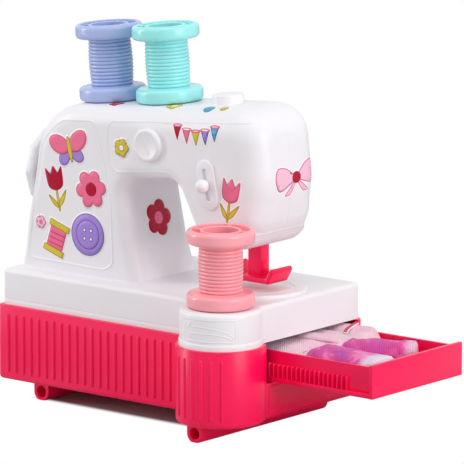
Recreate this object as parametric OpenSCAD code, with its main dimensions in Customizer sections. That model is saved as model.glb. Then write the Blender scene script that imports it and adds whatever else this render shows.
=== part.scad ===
// Toy sewing machine: a white machine body on a white deck, over a pink base whose drawer is
// driven out by turning the pink reel on the corner tower. Millimetres, +Z up, +X towards the
// drawer, -Y towards the decorated front. The origin is the bottom centre of the whole toy.

/* [Base] */
// Length of the pink base, handwheel end to drawer end
base_len = 184; // [178:1:210]
// Depth of the pink base, front to back
base_dep = 100; // [98:1:116]
// Height of the pink base without its feet
tray_h = 42.8; // [38:0.2:52]
// Wall of the pink base
tray_wall = 2.4; // [1.8:0.2:3]
// Radius of the base's upright corners
corner_r = 2.6; // [2:0.2:6]
// Height of the foot rails under the base
foot_h = 10.4; // [10.2:0.2:16]
// Outer radius of a foot rail
foot_r = 5.4; // [4.6:0.1:5.8]
// Bore radius of a foot rail
foot_bore_r = 3.2; // [1.5:0.1:3.3]
// Flat that a foot rail stands on, cut from its roundness
foot_flat = 0.5; // [0.3:0.1:0.8]
// Left foot rail, from the handwheel end of the base
foot_left_at = 26; // [22:0.5:40]
// Right foot rail, from the drawer end of the base
foot_right_at = 25; // [15:0.5:34]
// Spacing of the upright ribs on the front of the base
rib_pitch = 5.4; // [4.5:0.1:8]
// Radius of an upright rib
rib_r = 0.8; // [0.5:0.1:1.2]
// Plain band above and below the ribs
rib_margin = 4.5; // [3:0.5:8]

/* [Tower] */
// Radius of the corner tower at the pink base
tower_r = 24.8; // [23.8:0.1:27]
// Tower axis, from the drawer end of the base
tower_from_end = 20; // [19:0.5:23]
// Tower axis, out from the front of the base
tower_out = 2.2; // [2:0.1:2.6]

/* [Deck] */
// Height of the white deck
deck_h = 20.5; // [16:0.5:28]
// Step in from the pink base to the white deck
deck_inset = 2; // [1:0.1:3]
// Wall of the deck
deck_wall = 2.2; // [1.6:0.1:3]
// Rounding of the deck's upper edges
deck_edge_r = 2.6; // [1:0.1:2.8]
// Radius of the deck's upright corners
deck_corner_r = 3.2; // [3:0.2:6]
// Radius of the raised needle plate
plate_r = 25; // [16:0.5:25]
// Height of the raised needle plate
plate_h = 1.7; // [0.8:0.1:1.8]
// Needle plate's centre behind the body's centre plane
plate_back = 2.5; // [0:0.5:4]

/* [Body] */
// Depth of the machine body, front to back
body_dep = 55; // [50:1:60]
// Centre plane of the body, from the front of the base
body_mid_at = 44.5; // [43:0.5:48]
// Foot of the pillar, from the handwheel end of the base
body_from_left = 4.6; // [4.4:0.1:6]
// Length of the body, pillar foot to the nose of the head
body_len = 172; // [168:1:178]
// Height of the pillar's shoulder above the deck
shoulder_h = 92.5; // [90:0.5:98]
// Lean of the pillar's outer face over that height
pillar_lean = 10; // [9:0.5:13]
// Rise of the arm's top towards the head
arm_tilt = 4.8; // [3.8:0.2:5.8]
// Rounding of the shoulder
shoulder_r = 34; // [26:1:36]
// Rounding of the forehead
forehead_r = 19; // [16:1:22]
// Set-back of the forehead from the nose
forehead_back = 5.6; // [3:0.2:8]
// Pillar's inner face at the arm, from the pillar foot
throat_left = 70.4; // [67:0.2:72]
// Pillar's inner face at the deck, from the pillar foot
pillar_foot_w = 84; // [81:0.5:88]
// Height of the throat above the deck
throat_h = 57; // [54:0.2:60]
// Height of the head's underside above the deck
head_clear = 26.4; // [25:0.2:31]
// Set-back of the chin from the nose
chin_back = 13.5; // [12:0.1:15]
// Width of the head's underside
head_w = 30.1; // [28:0.1:32]
// Slope of the head's inner edge, underside to arm
head_slope = 18.8; // [16.4:0.2:22.4]
// Height of the crease under the nose, and its set-back from the nose
crease_h = 40; // [38:0.5:44]
crease_back = 4.2; // [3:0.2:6]
// Height of the nose above the deck
nose_h = 62; // [58:0.5:66]
// Rounding of the body's front and back edges
body_edge_r = 9; // [5:0.5:9]
// Wall of the body shells
shell_wall = 2; // [1.6:0.1:2.6]

/* [Reels] */
// Radius of a reel's flanges
reel_r = 18.75; // [17:0.25:19.25]
// Height of a reel
reel_h = 43; // [36:0.5:46]
// Thickness of a reel's flange
flange_t = 8; // [5.5:0.1:9]
// Radius of a reel's barrel over its ribs
barrel_r = 12.3; // [11.6:0.1:13]
// Bore radius of a reel
reel_bore_r = 9.9; // [8:0.1:10.2]
// Number of moulded ribs round a barrel
barrel_ribs = 14; // [6:1:16]
// Height of a reel post in the bore
post_h = 16; // [8:1:30]
// First reel's post, from the pillar foot along the arm
reel_one_at = 43.8; // [42:0.2:46]
// Spacing of the two reel posts
reel_pitch = 41.2; // [40:0.2:43]

/* [Drawer] */
// How far the drawer's face stands out of the base when open
drawer_reach = 71; // [40:1:74]
// End wall of the base beside the drawer's far edge
drawer_jamb = 4; // [0:0.5:6]
// Length of the drawer, face to back
drawer_len = 106.5; // [104:0.5:112]
// Height of the drawer's face
drawer_h = 18.6; // [16:0.2:22]
// Drawer's face below the deck
drawer_drop = 3; // [2:0.2:5]
// Thickness of the drawer's face
face_t = 2.5; // [1.6:0.1:3]
// Wall of the drawer
drawer_wall = 1.8; // [1.2:0.1:2.4]
// Floor of the drawer
drawer_floor = 1.6; // [1.2:0.1:2.4]
// Thickness of the ledge that carries the rack
ledge_t = 2.6; // [2:0.1:3.2]
// Height of the rack's teeth
rack_h = 7.6; // [6:0.2:9]
// Rack's front end, behind the drawer's face
rack_from_face = 18.5; // [12:0.5:19]

/* [Drive] */
// Module of rack and pinion
gear_mod = 1; // [0.9:0.05:1.05]
// Teeth of the pinion
pinion_teeth = 38; // [36:1:38]
// Radius of the drive shaft
drive_shaft_r = 4; // [3.5:0.1:5]
// Radius of the drive shaft's lower journal
journal_r = 3; // [2:0.1:3.2]

/* [Presser] */
// Presser bar, back from the chin
presser_back = 10.4; // [9.4:0.1:11.4]
// Presser bar along the arm and across it
bar_x = 9.6; // [6:0.1:9.8]
bar_y = 7.8; // [6:0.1:8.4]
// Height of the foot's sole above the deck
sole_gap = 6.2; // [5.8:0.1:8]
// Length of the flat sole
sole_len = 25; // [18:0.5:27]
// Width of the foot
sole_w = 17.5; // [12:0.5:20]
// Thickness of the foot
sole_t = 3.2; // [2:0.1:3.6]
// Press button, from the pillar foot
button_at = 126.7; // [126:0.1:128]
// Radius of the press button
button_r = 8.9; // [7:0.1:10]
// Travel of the button and foot
press_travel = 3.5; // [2.5:0.1:3.8]

/* [Controls] */
// Dial on the arm: from the pillar foot, and below the shoulder's height
dial_at = 92.4; // [90:0.2:95]
dial_drop = 13.6; // [11.6:0.1:15.4]
// Radius and height of the dial
dial_r = 9.4; // [7:0.1:10]
dial_t = 2.5; // [2:0.1:5]
// Take-up knob on the head: from the pillar foot, and above the deck
take_at = 134.4; // [133:0.2:136]
take_z = 61.5; // [59:0.5:64]
// Lean of the take-up slot
take_lean = 12; // [0:1:14]
// Length of the take-up slot
take_slot = 18; // [14:0.5:20]
// Radius of the take-up knob
take_r = 3.8; // [2.5:0.1:4.5]
// Corner radius of the ten-sided handwheel
wheel_r = 23.4; // [18:0.1:24]
// Thickness of the handwheel
wheel_t = 4.6; // [3:0.1:4.8]
// Height of the handwheel's axis above the deck
wheel_z = 52.3; // [48:0.5:56]
// Radius of the handwheel shaft
wheel_shaft_r = 3; // [2:0.1:4]

/* [Garment] */
// Thickness of the folded body of the doll's garment
cloth_t = 15.5; // [9:0.5:17]
// Width of the folded body
cloth_w = 57; // [50:1:60]
// Length of the folded body, as a share of the drawer's
cloth_share = 0.366; // [0.28:0.005:0.372]
// Width and height of a leg
leg_w = 20; // [16:0.5:21]
leg_t = 17.5; // [12:0.5:18]
// Length of a leg, as a share of the drawer's
leg_share = 0.45; // [0.38:0.005:0.46]
// Turn of the far leg away from the near one
leg_turn = 40; // [32:1:44]

/* [Fits] */
// Radial clearance of a turning shaft
run_gap = 0.08; // [0.02:0.01:0.1]
// Gap between parts that slide or turn past each other
slide_gap = 0.3; // [0.2:0.05:0.5]
// Radius and pilot radius of the self-tapping screws
screw_r = 1.25; // [1:0.05:1.5]
pilot_gap = 0.05; // [0.02:0.01:0.1]
// Radius of the screw bosses
boss_r = 4.2; // [3.8:0.1:4.6]
// Lengths of the screws through the base, the deck and the body shells
base_screw_len = 12; // [10:0.5:13]
deck_screw_len = 10; // [8:0.5:10.5]
body_screw_len = 10; // [8:0.5:11]

/* [Hidden] */
$fn = 64;

white = "#F6F4F8";
hot_pink = "#EC1B55";
soft_pink = "#FFA9B0";
lavender = "#AFBAEA";
turquoise = "#83E4DA";
steel = "#B9BCC2";
knit_pink = "#F5A9CB";
dye_purple = "#B565C4";

// Overlap of a cut past the face that it opens
cut = 1;

// Places of the base: the whole toy is centred on the origin
x_left = -(base_len + drawer_reach) / 2;
x_end = x_left + base_len;
rib_proud = 0.7 * rib_r;
y_back = (base_dep + tower_out + tower_r + rib_proud) / 2;
y_front = y_back - base_dep;
tower_x = x_end - tower_from_end;
tower_y = y_front - tower_out;
z_tray = foot_h;
z_floor = z_tray + tray_wall;
z_split = z_tray + tray_h;
z_deck = z_split + deck_h;
deck_top_t = deck_wall;

// Places of the body
body_x = x_left + body_from_left;
body_y = y_front + body_mid_at;
face_y = body_y - body_dep / 2;
rear_y = body_y + body_dep / 2;
arm_rise = tan(arm_tilt);
// Places along the arm are given for a body of this length, and move with the body
given_len = 172;
stretch = body_len / given_len;
tight = min(1, stretch);
function along(at) = at * stretch;
head_outer = given_len - chin_back;
head_inner = head_outer - head_w;
throat_right = head_inner - head_slope;
presser_at = head_outer - presser_back;
function arm_top(at) = shoulder_h + (at - pillar_lean) * arm_rise;
pillar_kick_h = 16;
pillar_kick = 1;
function pillar_side(h) =
    pillar_kick + (pillar_lean - pillar_kick) * (h - pillar_kick_h) / (shoulder_h - pillar_kick_h);

// Outline of the body seen from the front: along the arm, above the deck, corner radius
throat_top_rise = along(throat_right - throat_left) * arm_rise;
OUTLINE = [
    [0, 0, 0],
    [along(pillar_foot_w), 0, 0],
    [along(throat_left) + 7, 22, 36],
    [along(throat_left), throat_h, 11 * tight],
    [along(throat_right), throat_h + throat_top_rise, 10 * tight],
    [along(head_inner), head_clear, 11 * tight],
    [along(head_outer), head_clear, 14 * tight],
    [body_len - crease_back, crease_h, 20 * tight],
    [body_len, nose_h, 50],
    [body_len - forehead_back, arm_top(body_len - forehead_back), forehead_r],
    [pillar_lean, shoulder_h, shoulder_r],
    [pillar_kick, pillar_kick_h, 30]
];
arc_steps = 6;
edge_steps = 5;

// One rounded corner as points with outward normals: [x, z, normal x, normal z, on the deck]
function unit(v) = v / norm(v);
function corner(i) =
    let (n = len(OUTLINE), p = OUTLINE[i], here = [p.x, p.y], before = OUTLINE[(i + n - 1) % n],
        after = OUTLINE[(i + 1) % n])
    p.z == 0 ? [[p.x, p.y, i == 0 ? -1 : 1, 0, true]] :
    let (a = unit([before.x, before.y] - here), b = unit([after.x, after.y] - here),
        half = acos(a * b) / 2, turn = 180 - 2 * half, convex = a.x * b.y - a.y * b.x < 0,
        centre = here + unit(a + b) * p.z / sin(half),
        start = atan2((here + a * p.z / tan(half) - centre).y, (here + a * p.z / tan(half) - centre).x))
    [for (k = [0 : arc_steps]) let (t = start + (convex ? 1 : -1) * turn * k / arc_steps,
        out = convex ? [cos(t), sin(t)] : [-cos(t), -sin(t)])
        [centre.x + p.z * cos(t), centre.y + p.z * sin(t), out.x, out.y, false]];
BODY_LINE = [for (i = [0 : len(OUTLINE) - 1]) each corner(i)];
// A slice of the body at one depth, drawn in from the outline
function body_slice(y, inset, floor_z) = [for (q = BODY_LINE)
    [body_x + q[0] - inset * q[2], y, z_deck + (q[4] ? floor_z : q[1] - inset * q[3])]];

// The flat face of a slice, in triangles: first and last point of each rounded corner
function first_of(i) = 2 + (i - 2) * (arc_steps + 1);
function last_of(i) = first_of(i) + arc_steps;
BODY_FACE = concat(
    [for (k = [1 : last_of(2) - 1]) [0, k, k + 1]],
    [[0, last_of(2), last_of(11)]],
    [for (k = [last_of(11) : -1 : first_of(11) + 1]) [k, last_of(2), k - 1]],
    [[first_of(11), last_of(2), last_of(10)]],
    [for (k = [last_of(2) : last_of(3) - 1]) [last_of(10), k, k + 1]],
    [for (k = [last_of(10) : -1 : first_of(10) + 1]) [k, last_of(3), k - 1]],
    [[first_of(10), last_of(3), last_of(9)]],
    [for (k = [last_of(3) : last_of(4) - 1]) [last_of(9), k, k + 1]],
    [for (k = [last_of(9) : -1 : first_of(9) + 1]) [k, last_of(4), k - 1]],
    [for (k = [last_of(4) : first_of(9) - 2]) [first_of(9), k, k + 1]]);

// Places on the body
function on_body(at, h) = [body_x + at, body_y, z_deck + h];
reel_first = along(reel_one_at);
reel_second = reel_first + max(reel_pitch, 2 * reel_r + slide_gap);
button_clear = 2;
button_place = max(along(button_at), reel_second + reel_r + button_r + button_clear);
reel_one = on_body(reel_first, arm_top(reel_first));
reel_two = on_body(reel_second, arm_top(reel_second));
button_seat = on_body(button_place, arm_top(button_place));
presser_x = body_x + along(presser_at);
dial_place = along(dial_at);
dial_z = shoulder_h - dial_drop;
wheel_inner = pillar_side(wheel_z - wheel_r) - slide_gap;
wheel_at = on_body(wheel_inner - wheel_t, wheel_z);
// Bosses for the screws that close the two body shells: along the arm, above the deck
BODY_BOSSES = [for (p = [[20, 22], [62, 16], [36, shoulder_h - 14.5], [110, shoulder_h - 8.5],
    [156, shoulder_h - 4.5]]) [along(p.x), p.y]];
// Screws that hold the body on the deck: along the arm, from the centre plane
DECK_BOSSES = [for (p = [[22, -14], [22, 14], [62, -14], [62, 14]]) [along(p.x), p.y]];
deck_boss_h = 12;
// Posts under the deck that stand on the base's floor: from the left end, from the front
rail_behind = 6;
post_clear = 2.3;
BASE_POSTS = [[13, 13], [13, base_dep - 13], [base_len - tower_from_end - tower_r - 5 * boss_r, 8],
    [base_len - drawer_len - rail_behind - boss_r - post_clear, base_dep - 9]];

// Places of the drive and the drawer
gear_pitch = PI * gear_mod;
pinion_r = gear_mod * pinion_teeth / 2;
mesh_gap = 0.1;
backlash = 0.3;
rack_pitch_y = tower_y + pinion_r + mesh_gap;
rack_tip_y = rack_pitch_y - gear_mod;
rack_root_y = rack_pitch_y + 1.25 * gear_mod;
drawer_y0 = rack_tip_y - 0.6;
ledge_y = rack_tip_y - 0.1;
// The opening reaches from where the tower meets the end wall
opening_y = min(drawer_y0 - slide_gap, tower_y + sqrt(pow(tower_r, 2) - pow(tower_from_end, 2)) + slide_gap);
drawer_y1 = y_back - drawer_jamb - slide_gap;
drawer_back_y = y_back - drawer_jamb - tray_wall - 2 * slide_gap;
drawer_x1 = x_end + drawer_reach;
drawer_x0 = drawer_x1 - drawer_len;
drawer_inner_x1 = drawer_x1 - face_t;
z_drawer_top = z_split - drawer_drop;
z_drawer = z_drawer_top - drawer_h;
drawer_rim = z_drawer_top - 1.6;
rack_z = z_drawer + ledge_t;
drawer_travel = drawer_reach - face_t - slide_gap;
rail_w = 5;
// The rack reaches past the pinion with the drawer open and shut
rack_x1 = drawer_x1 - rack_from_face;
rack_teeth = floor((rack_x1 - (tower_x - 9)) / gear_pitch);
// The rack's teeth stand in step with the pinion's gaps
rack_first = tower_x - 2 * gear_pitch;
clip_t = 1.2;

// Common forms

// A rounded rectangle, from its lower left corner
module rounded_rect(w, d, r) {
    translate([r, 0]) square([w - 2 * r, d]);
    translate([0, r]) square([w, d - 2 * r]);
    for (x = [r, w - r], y = [r, d - r]) translate([x, y]) circle(r);
}

// Half outline of a puck with a rounded upper rim
module puck_half(r, h, edge) {
    square([r, h - edge]);
    square([r - edge, h]);
    translate([r - edge, h - edge]) circle(edge);
}

module puck(r, h, edge) {
    rotate_extrude() intersection() {
        puck_half(r, h, edge);
        square([r, h]);
    }
}

// A slab with upright corner radius and rounded upper edges
module rounded_slab(w, d, h, r, edge) {
    for (x = [r, w - r], y = [r, d - r]) translate([x, y, 0]) puck(r, h, edge);
    translate([r, d, 0]) rotate([90, 0, 90]) linear_extrude(w - 2 * r) mirror([1, 0]) rim_half(d, h, edge);
    translate([0, d - r, 0]) rotate([90, 0, 0]) linear_extrude(d - 2 * r) rim_half(w, h, edge);
}

// Section of a slab with two rounded upper corners
module rim_half(w, h, edge) {
    square([w, h - edge]);
    translate([edge, 0]) square([w - 2 * edge, h]);
    for (x = [edge, w - edge]) translate([x, h - edge]) circle(edge);
}

// Plan of base and tower, drawn in by a wall
module base_plan(inset) {
    translate([x_left + inset, y_front + inset])
        rounded_rect(base_len - 2 * inset, base_dep - 2 * inset, max(corner_r - inset, 1));
    translate([tower_x, tower_y]) circle(tower_r - inset);
}

// A skin through rows of points that all have the same count, closed at both ends by the given faces
module loft(rows, ends, flip = false) {
    n = len(rows[0]);
    last = (len(rows) - 1) * n;
    faces = concat(
        ends,
        [for (i = [0 : len(rows) - 2], j = [0 : n - 1])
            [i * n + j, (i + 1) * n + j, (i + 1) * n + (j + 1) % n]],
        [for (i = [0 : len(rows) - 2], j = [0 : n - 1])
            [i * n + j, (i + 1) * n + (j + 1) % n, i * n + (j + 1) % n]],
        [for (f = ends) [for (j = [len(f) - 1 : -1 : 0]) last + f[j]]]);
    polyhedron(
        points = [for (row = rows) each row],
        faces = flip ? [for (f = faces) [for (j = [len(f) - 1 : -1 : 0]) f[j]]] : faces);
}
// One flat end with a given count of points
function flat_end(n) = [[for (j = [0 : n - 1]) j]];

// A self-tapping screw, head upwards at the origin
screw_head_r = 2.6;
screw_head_h = 1.8;
module screw(length) {
    puck(screw_head_r, screw_head_h, 0.6);
    translate([0, 0, -length]) cylinder(r = screw_r, h = length + 0.2);
}

// Base

module rib(h) { cylinder(r = rib_r, h = h, $fn = 24); }

module base_ribs() {
    rib_h = tray_h - 2 * rib_margin;
    plain_end = tower_from_end + tower_r + 2;
    first = corner_r + rib_r;
    count = floor((base_len - plain_end - first) / rib_pitch);
    for (i = [0 : count]) translate([x_left + first + i * rib_pitch, y_front + rib_r - rib_proud, z_tray + rib_margin])
        rib(rib_h);
    // Six more ribs run round the front of the tower
    for (i = [0 : 5]) let (a = 243 + i * 13.5, r = tower_r - rib_r + rib_proud)
        translate([tower_x + r * cos(a), tower_y + r * sin(a), z_tray + rib_margin]) rib(rib_h);
}

module base_tray() color(hot_pink) {
    bearing_h = 9;
    recess_margin = 4;
    difference() {
        union() {
            translate([0, 0, z_tray]) linear_extrude(tray_h) base_plan(0);
            base_ribs();
        }
        translate([0, 0, z_floor]) linear_extrude(tray_h) base_plan(tray_wall);
        // Way in for the drawer through the end wall
        translate([x_end - 2 * tray_wall, opening_y, z_drawer - 2 * slide_gap])
            cube([3 * tray_wall, y_back - drawer_jamb - tray_wall - opening_y, drawer_h + drawer_drop + 2]);
        // Shallow panel under the drawer
        translate([x_end - tray_wall / 3, opening_y + recess_margin / 2, z_tray + recess_margin])
            cube([tray_wall, drawer_y1 - opening_y - 1.5 * recess_margin,
                z_drawer - z_tray - 1.6 * recess_margin]);
        for (p = BASE_POSTS) translate([x_left + p.x, y_front + p.y, z_tray - cut])
            cylinder(r = screw_r + pilot_gap, h = tray_wall + 2 * cut, $fn = 32);
        for (p = foot_screw_places()) translate([p.x, p.y, z_tray - cut])
            cylinder(r = screw_r + pilot_gap, h = tray_wall + 2 * cut, $fn = 32);
    }
    // Lower bearing of the drive shaft
    translate([tower_x, tower_y, z_floor]) difference() {
        cylinder(r = journal_r + 3, h = bearing_h);
        translate([0, 0, 1]) cylinder(r = journal_r + run_gap, h = bearing_h);
    }
}

// Foot rails: a tube under the base with straight sides up to its floor
foot_back = y_back - 8;
foot_left_x = x_left + foot_left_at;
foot_right_x = x_end - foot_right_at;
foot_left_y = y_front + 7;
foot_right_y = tower_y - tower_r + 8;
foot_z = foot_r - foot_flat;
foot_screw_gap = 0.5;
function foot_screw_places() = [
    for (x = [foot_left_x, foot_right_x], y = [y_front + 27, foot_back - 12]) [x, y]];
module foot_rail(x, y0) color(hot_pink) difference() {
    union() {
        translate([x, foot_back, foot_z]) rotate([90, 0, 0]) cylinder(r = foot_r, h = foot_back - y0);
        translate([x - foot_r, y0, foot_z]) cube([2 * foot_r, foot_back - y0, foot_h - foot_z]);
    }
    translate([x, foot_back + cut, foot_z]) rotate([90, 0, 0])
        cylinder(r = foot_bore_r, h = foot_back - y0 + 2 * cut);
    translate([x - foot_r, y0 - cut, -foot_r]) cube([2 * foot_r, foot_back - y0 + 2 * cut, foot_r]);
    for (p = foot_screw_places()) translate([p.x, p.y, foot_z + foot_bore_r + foot_screw_gap])
        cylinder(r = screw_r + pilot_gap, h = foot_h, $fn = 32);
}
module foot_rail_left() foot_rail(foot_left_x, foot_left_y);
module foot_rail_right() foot_rail(foot_right_x, foot_right_y);

module base_screws() color(steel)
    for (p = BASE_POSTS) translate([x_left + p.x, y_front + p.y, z_tray]) rotate([180, 0, 0]) screw(base_screw_len);
module foot_screws() color(steel)
    for (p = foot_screw_places()) translate([p.x, p.y, z_floor])
        screw(tray_wall + foot_h - foot_z - foot_bore_r - 2 * foot_screw_gap);

// Rails that carry the drawer on the base's floor
rail_top = z_drawer - slide_gap;
rail_x0 = x_end - drawer_len - rail_behind;
rail_x1 = x_end - tray_wall - 2;
module drawer_rail_front() color(hot_pink) {
    lip = 1.5;
    translate([rail_x0, drawer_y0 - slide_gap, z_floor]) cube([rail_x1 - rail_x0, rail_w, rail_top - z_floor]);
    translate([rail_x0, drawer_y0 - slide_gap - lip, z_floor])
        cube([rail_x1 - rail_x0, lip, rail_top - z_floor + ledge_t - 1]);
}
module drawer_rail_back() color(hot_pink)
    translate([rail_x0, drawer_back_y - rail_w, z_floor])
        cube([rail_x1 - rail_x0, rail_w, rail_top - z_floor]);

// Deck

module deck_cover() color(white) {
    difference() {
        union() {
            translate([x_left + deck_inset, y_front + deck_inset, z_split])
                rounded_slab(base_len - 2 * deck_inset, base_dep - 2 * deck_inset, deck_h,
                    deck_corner_r, deck_edge_r);
            translate([tower_x, tower_y, z_split]) puck(tower_r - deck_inset, deck_h, deck_edge_r);
        }
        translate([0, 0, z_split - cut])
            linear_extrude(deck_h - deck_top_t + cut) base_plan(deck_inset + deck_wall);
        translate([tower_x, tower_y, z_split]) cylinder(r = drive_shaft_r + run_gap, h = deck_h + cut);
        for (p = DECK_BOSSES) translate([body_x + p.x, body_y + p.y, z_split])
            cylinder(r = screw_r + pilot_gap, h = deck_h + cut, $fn = 32);
    }
    for (p = BASE_POSTS) translate([x_left + p.x, y_front + p.y, z_floor]) difference() {
        cylinder(r = boss_r, h = z_deck - deck_top_t - z_floor);
        translate([0, 0, -cut]) cylinder(r = screw_r + pilot_gap, h = 14, $fn = 32);
    }
}

module needle_plate() color(white)
    translate([presser_x, body_y + plate_back, z_deck]) puck(plate_r, plate_h, plate_h / 2);

module deck_screws() color(steel)
    for (p = DECK_BOSSES) translate([body_x + p.x, body_y + p.y, z_deck - deck_top_t])
        rotate([180, 0, 0]) screw(deck_screw_len);

// Body shells

// Rows of one half, from its outer face round the middle to its inner face
function shell_rows(face, side) = concat(
    [for (k = [0 : edge_steps]) let (a = 90 * k / edge_steps)
        body_slice(face + side * body_edge_r * (1 - cos(a)), body_edge_r * (1 - sin(a)), 0)],
    [body_slice(body_y, 0, 0)],
    [body_slice(body_y, shell_wall, shell_wall)],
    [for (k = [edge_steps : -1 : 0]) let (a = 90 * k / edge_steps, r = body_edge_r - shell_wall)
        body_slice(face + side * (body_edge_r - r * cos(a)), body_edge_r - r * sin(a), shell_wall)]);

// Holes that pass through both halves
module body_openings() {
    translate([presser_x - guide_x / 2, body_y - guide_y / 2, z_deck + head_clear - cut])
        cube([guide_x, guide_y, 3 * shell_wall]);
    translate([button_seat.x, button_seat.y, button_seat.z - 4 * shell_wall])
        cylinder(r = button_r + slide_gap, h = 8 * shell_wall);
    for (p = [reel_one, reel_two]) translate(p) rotate([0, -arm_tilt, 0])
        cylinder(r = spigot_r + pilot_gap, h = 6 * shell_wall, center = true);
    translate([wheel_at.x, wheel_at.y, wheel_at.z]) rotate([0, 90, 0])
        cylinder(r = bush_r + pilot_gap, h = 30);
}

// A boss from the face to the centre plane
module body_boss(p, face, side) {
    translate([body_x + p.x, face + side * shell_wall / 2, z_deck + p.y]) rotate([-side * 90, 0, 0])
        cylinder(r = boss_r, h = body_dep / 2 - shell_wall / 2);
}

module deck_bosses(side) {
    for (p = DECK_BOSSES) if (p.y * side < 0) translate([body_x + p.x, body_y + p.y, z_deck])
        cylinder(r = boss_r, h = deck_boss_h);
}
module deck_boss_pilots() {
    for (p = DECK_BOSSES) translate([body_x + p.x, body_y + p.y, z_deck - cut])
        cylinder(r = screw_r + pilot_gap, h = deck_boss_h - 1, $fn = 32);
}

screw_grip = 4;
module body_front_shell() color(white) difference() {
    union() {
        loft(shell_rows(face_y, 1), BODY_FACE, flip = true);
        for (p = BODY_BOSSES) body_boss(p, face_y, 1);
        deck_bosses(1);
    }
    body_openings();
    deck_boss_pilots();
    for (p = BODY_BOSSES) translate([body_x + p.x, body_y + cut, z_deck + p.y]) rotate([90, 0, 0])
        cylinder(r = screw_r + pilot_gap, h = 12 + cut, $fn = 32);
    // Dial shaft and take-up slot
    translate([body_x + dial_place, face_y - cut, z_deck + dial_z]) rotate([-90, 0, 0])
        cylinder(r = dial_shaft_r + run_gap, h = shell_wall + 2 * cut);
    take_frame() take_slot_cut(face_y - cut, shell_wall + 2 * cut);
}

module body_rear_shell() color(white) difference() {
    union() {
        loft(shell_rows(rear_y, -1), BODY_FACE);
        for (p = BODY_BOSSES) body_boss(p, rear_y, -1);
        deck_bosses(-1);
    }
    body_openings();
    deck_boss_pilots();
    // Screw passages with deep sockets for the heads
    for (p = BODY_BOSSES) translate([body_x + p.x, rear_y + cut, z_deck + p.y]) rotate([90, 0, 0]) {
        cylinder(r = screw_r + pilot_gap, h = body_dep / 2 + 2 * cut, $fn = 32);
        cylinder(r = screw_head_r + 0.3, h = body_dep / 2 - screw_grip + cut, $fn = 32);
    }
}

module body_screws() color(steel)
    for (p = BODY_BOSSES) translate([body_x + p.x, body_y + screw_grip, z_deck + p.y])
        rotate([-90, 0, 0]) screw(screw_grip + body_screw_len);

// Reels

// Radius of the ribbed barrel at one height: rings on a slightly crowned drum
crown = 0.5;
rib_depth = 0.55;
function barrel_at(t) = barrel_r - rib_depth - crown + crown * sin(180 * t)
    + rib_depth * sqrt(max(0, 1 - pow(2 * (t * barrel_ribs - floor(t * barrel_ribs)) - 1, 2)));
rib_points = 6;
module reel() {
    spoke_w = 2;
    hub_r = reel_bore_r + 1.4;
    rim_in = reel_r - 3;
    recess = 3;
    edge = 1.5;
    drum = reel_h - 2 * flange_t;
    steps = barrel_ribs * rib_points;
    difference() {
        union() {
            rotate_extrude() polygon(concat(
                [[reel_bore_r, flange_t / 2]],
                [for (i = [0 : steps]) [barrel_at(min(i / steps, 0.99999)), flange_t + drum * i / steps]],
                [[reel_bore_r, reel_h - flange_t / 2]]));
            for (z = [0, reel_h - flange_t]) translate([0, 0, z]) flange(edge);
        }
        translate([0, 0, -cut]) cylinder(r = reel_bore_r, h = reel_h + 2 * cut);
        translate([0, 0, reel_h - recess]) difference() {
            cylinder(r = rim_in, h = recess + cut);
            translate([0, 0, -cut]) cylinder(r = hub_r, h = recess + 3 * cut);
            for (a = [20 : 90 : 290]) rotate(a) translate([0, -spoke_w / 2, -cut])
                cube([reel_r, spoke_w, recess + 0.4 * cut]);
        }
    }
}
module flange(edge) {
    rotate_extrude() {
        square([reel_r - edge, flange_t]);
        translate([0, edge]) square([reel_r, flange_t - 2 * edge]);
        for (z = [edge, flange_t - edge]) translate([reel_r - edge, z]) circle(edge);
    }
}

spigot_r = 4;
module reel_post(seat) color(white) translate(seat) rotate([0, -arm_tilt, 0]) {
    puck(reel_bore_r - run_gap, post_h, 1.5);
    translate([0, 0, -3 * shell_wall]) cylinder(r = spigot_r, h = 3 * shell_wall + cut);
}
module reel_post_left() reel_post(reel_one);
module reel_post_right() reel_post(reel_two);

module seated_reel(seat) translate(seat) rotate([0, -arm_tilt, 0]) translate([0, 0, slide_gap]) reel();
module reel_lavender() color(lavender) seated_reel(reel_one);
module reel_turquoise() color(turquoise) seated_reel(reel_two);

// Drive: reel, shaft and pinion on the tower's axis

module drive_reel() color(soft_pink) translate([tower_x, tower_y, z_deck + slide_gap]) reel();

hub_h = 18;
module drive_shaft() color(white) translate([tower_x, tower_y, 0]) {
    translate([0, 0, z_deck + slide_gap]) puck(reel_bore_r - pilot_gap, hub_h, 1.5);
    difference() {
        translate([0, 0, z_floor + 9 + slide_gap])
            cylinder(r = drive_shaft_r, h = z_deck + slide_gap + cut - z_floor - 9 - slide_gap);
        translate([0, 0, clip_z - pilot_gap]) clip_ring(drive_shaft_r + cut, clip_t + 2 * pilot_gap);
    }
    translate([0, 0, z_floor + 1 + slide_gap]) cylinder(r = journal_r, h = 9);
}
// Groove and ring under the deck that keep the shaft from lifting
clip_z = z_deck - deck_top_t - slide_gap - clip_t;
module clip_ring(outer, h) difference() {
    cylinder(r = outer, h = h);
    translate([0, 0, -cut]) cylinder(r = drive_shaft_r - 1, h = h + 2 * cut);
}
module drive_clip() color(steel) translate([tower_x, tower_y, clip_z]) difference() {
    cylinder(r = drive_shaft_r + 3, h = clip_t);
    translate([0, 0, -cut]) cylinder(r = drive_shaft_r - 1 + pilot_gap, h = clip_t + 2 * cut);
}

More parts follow.
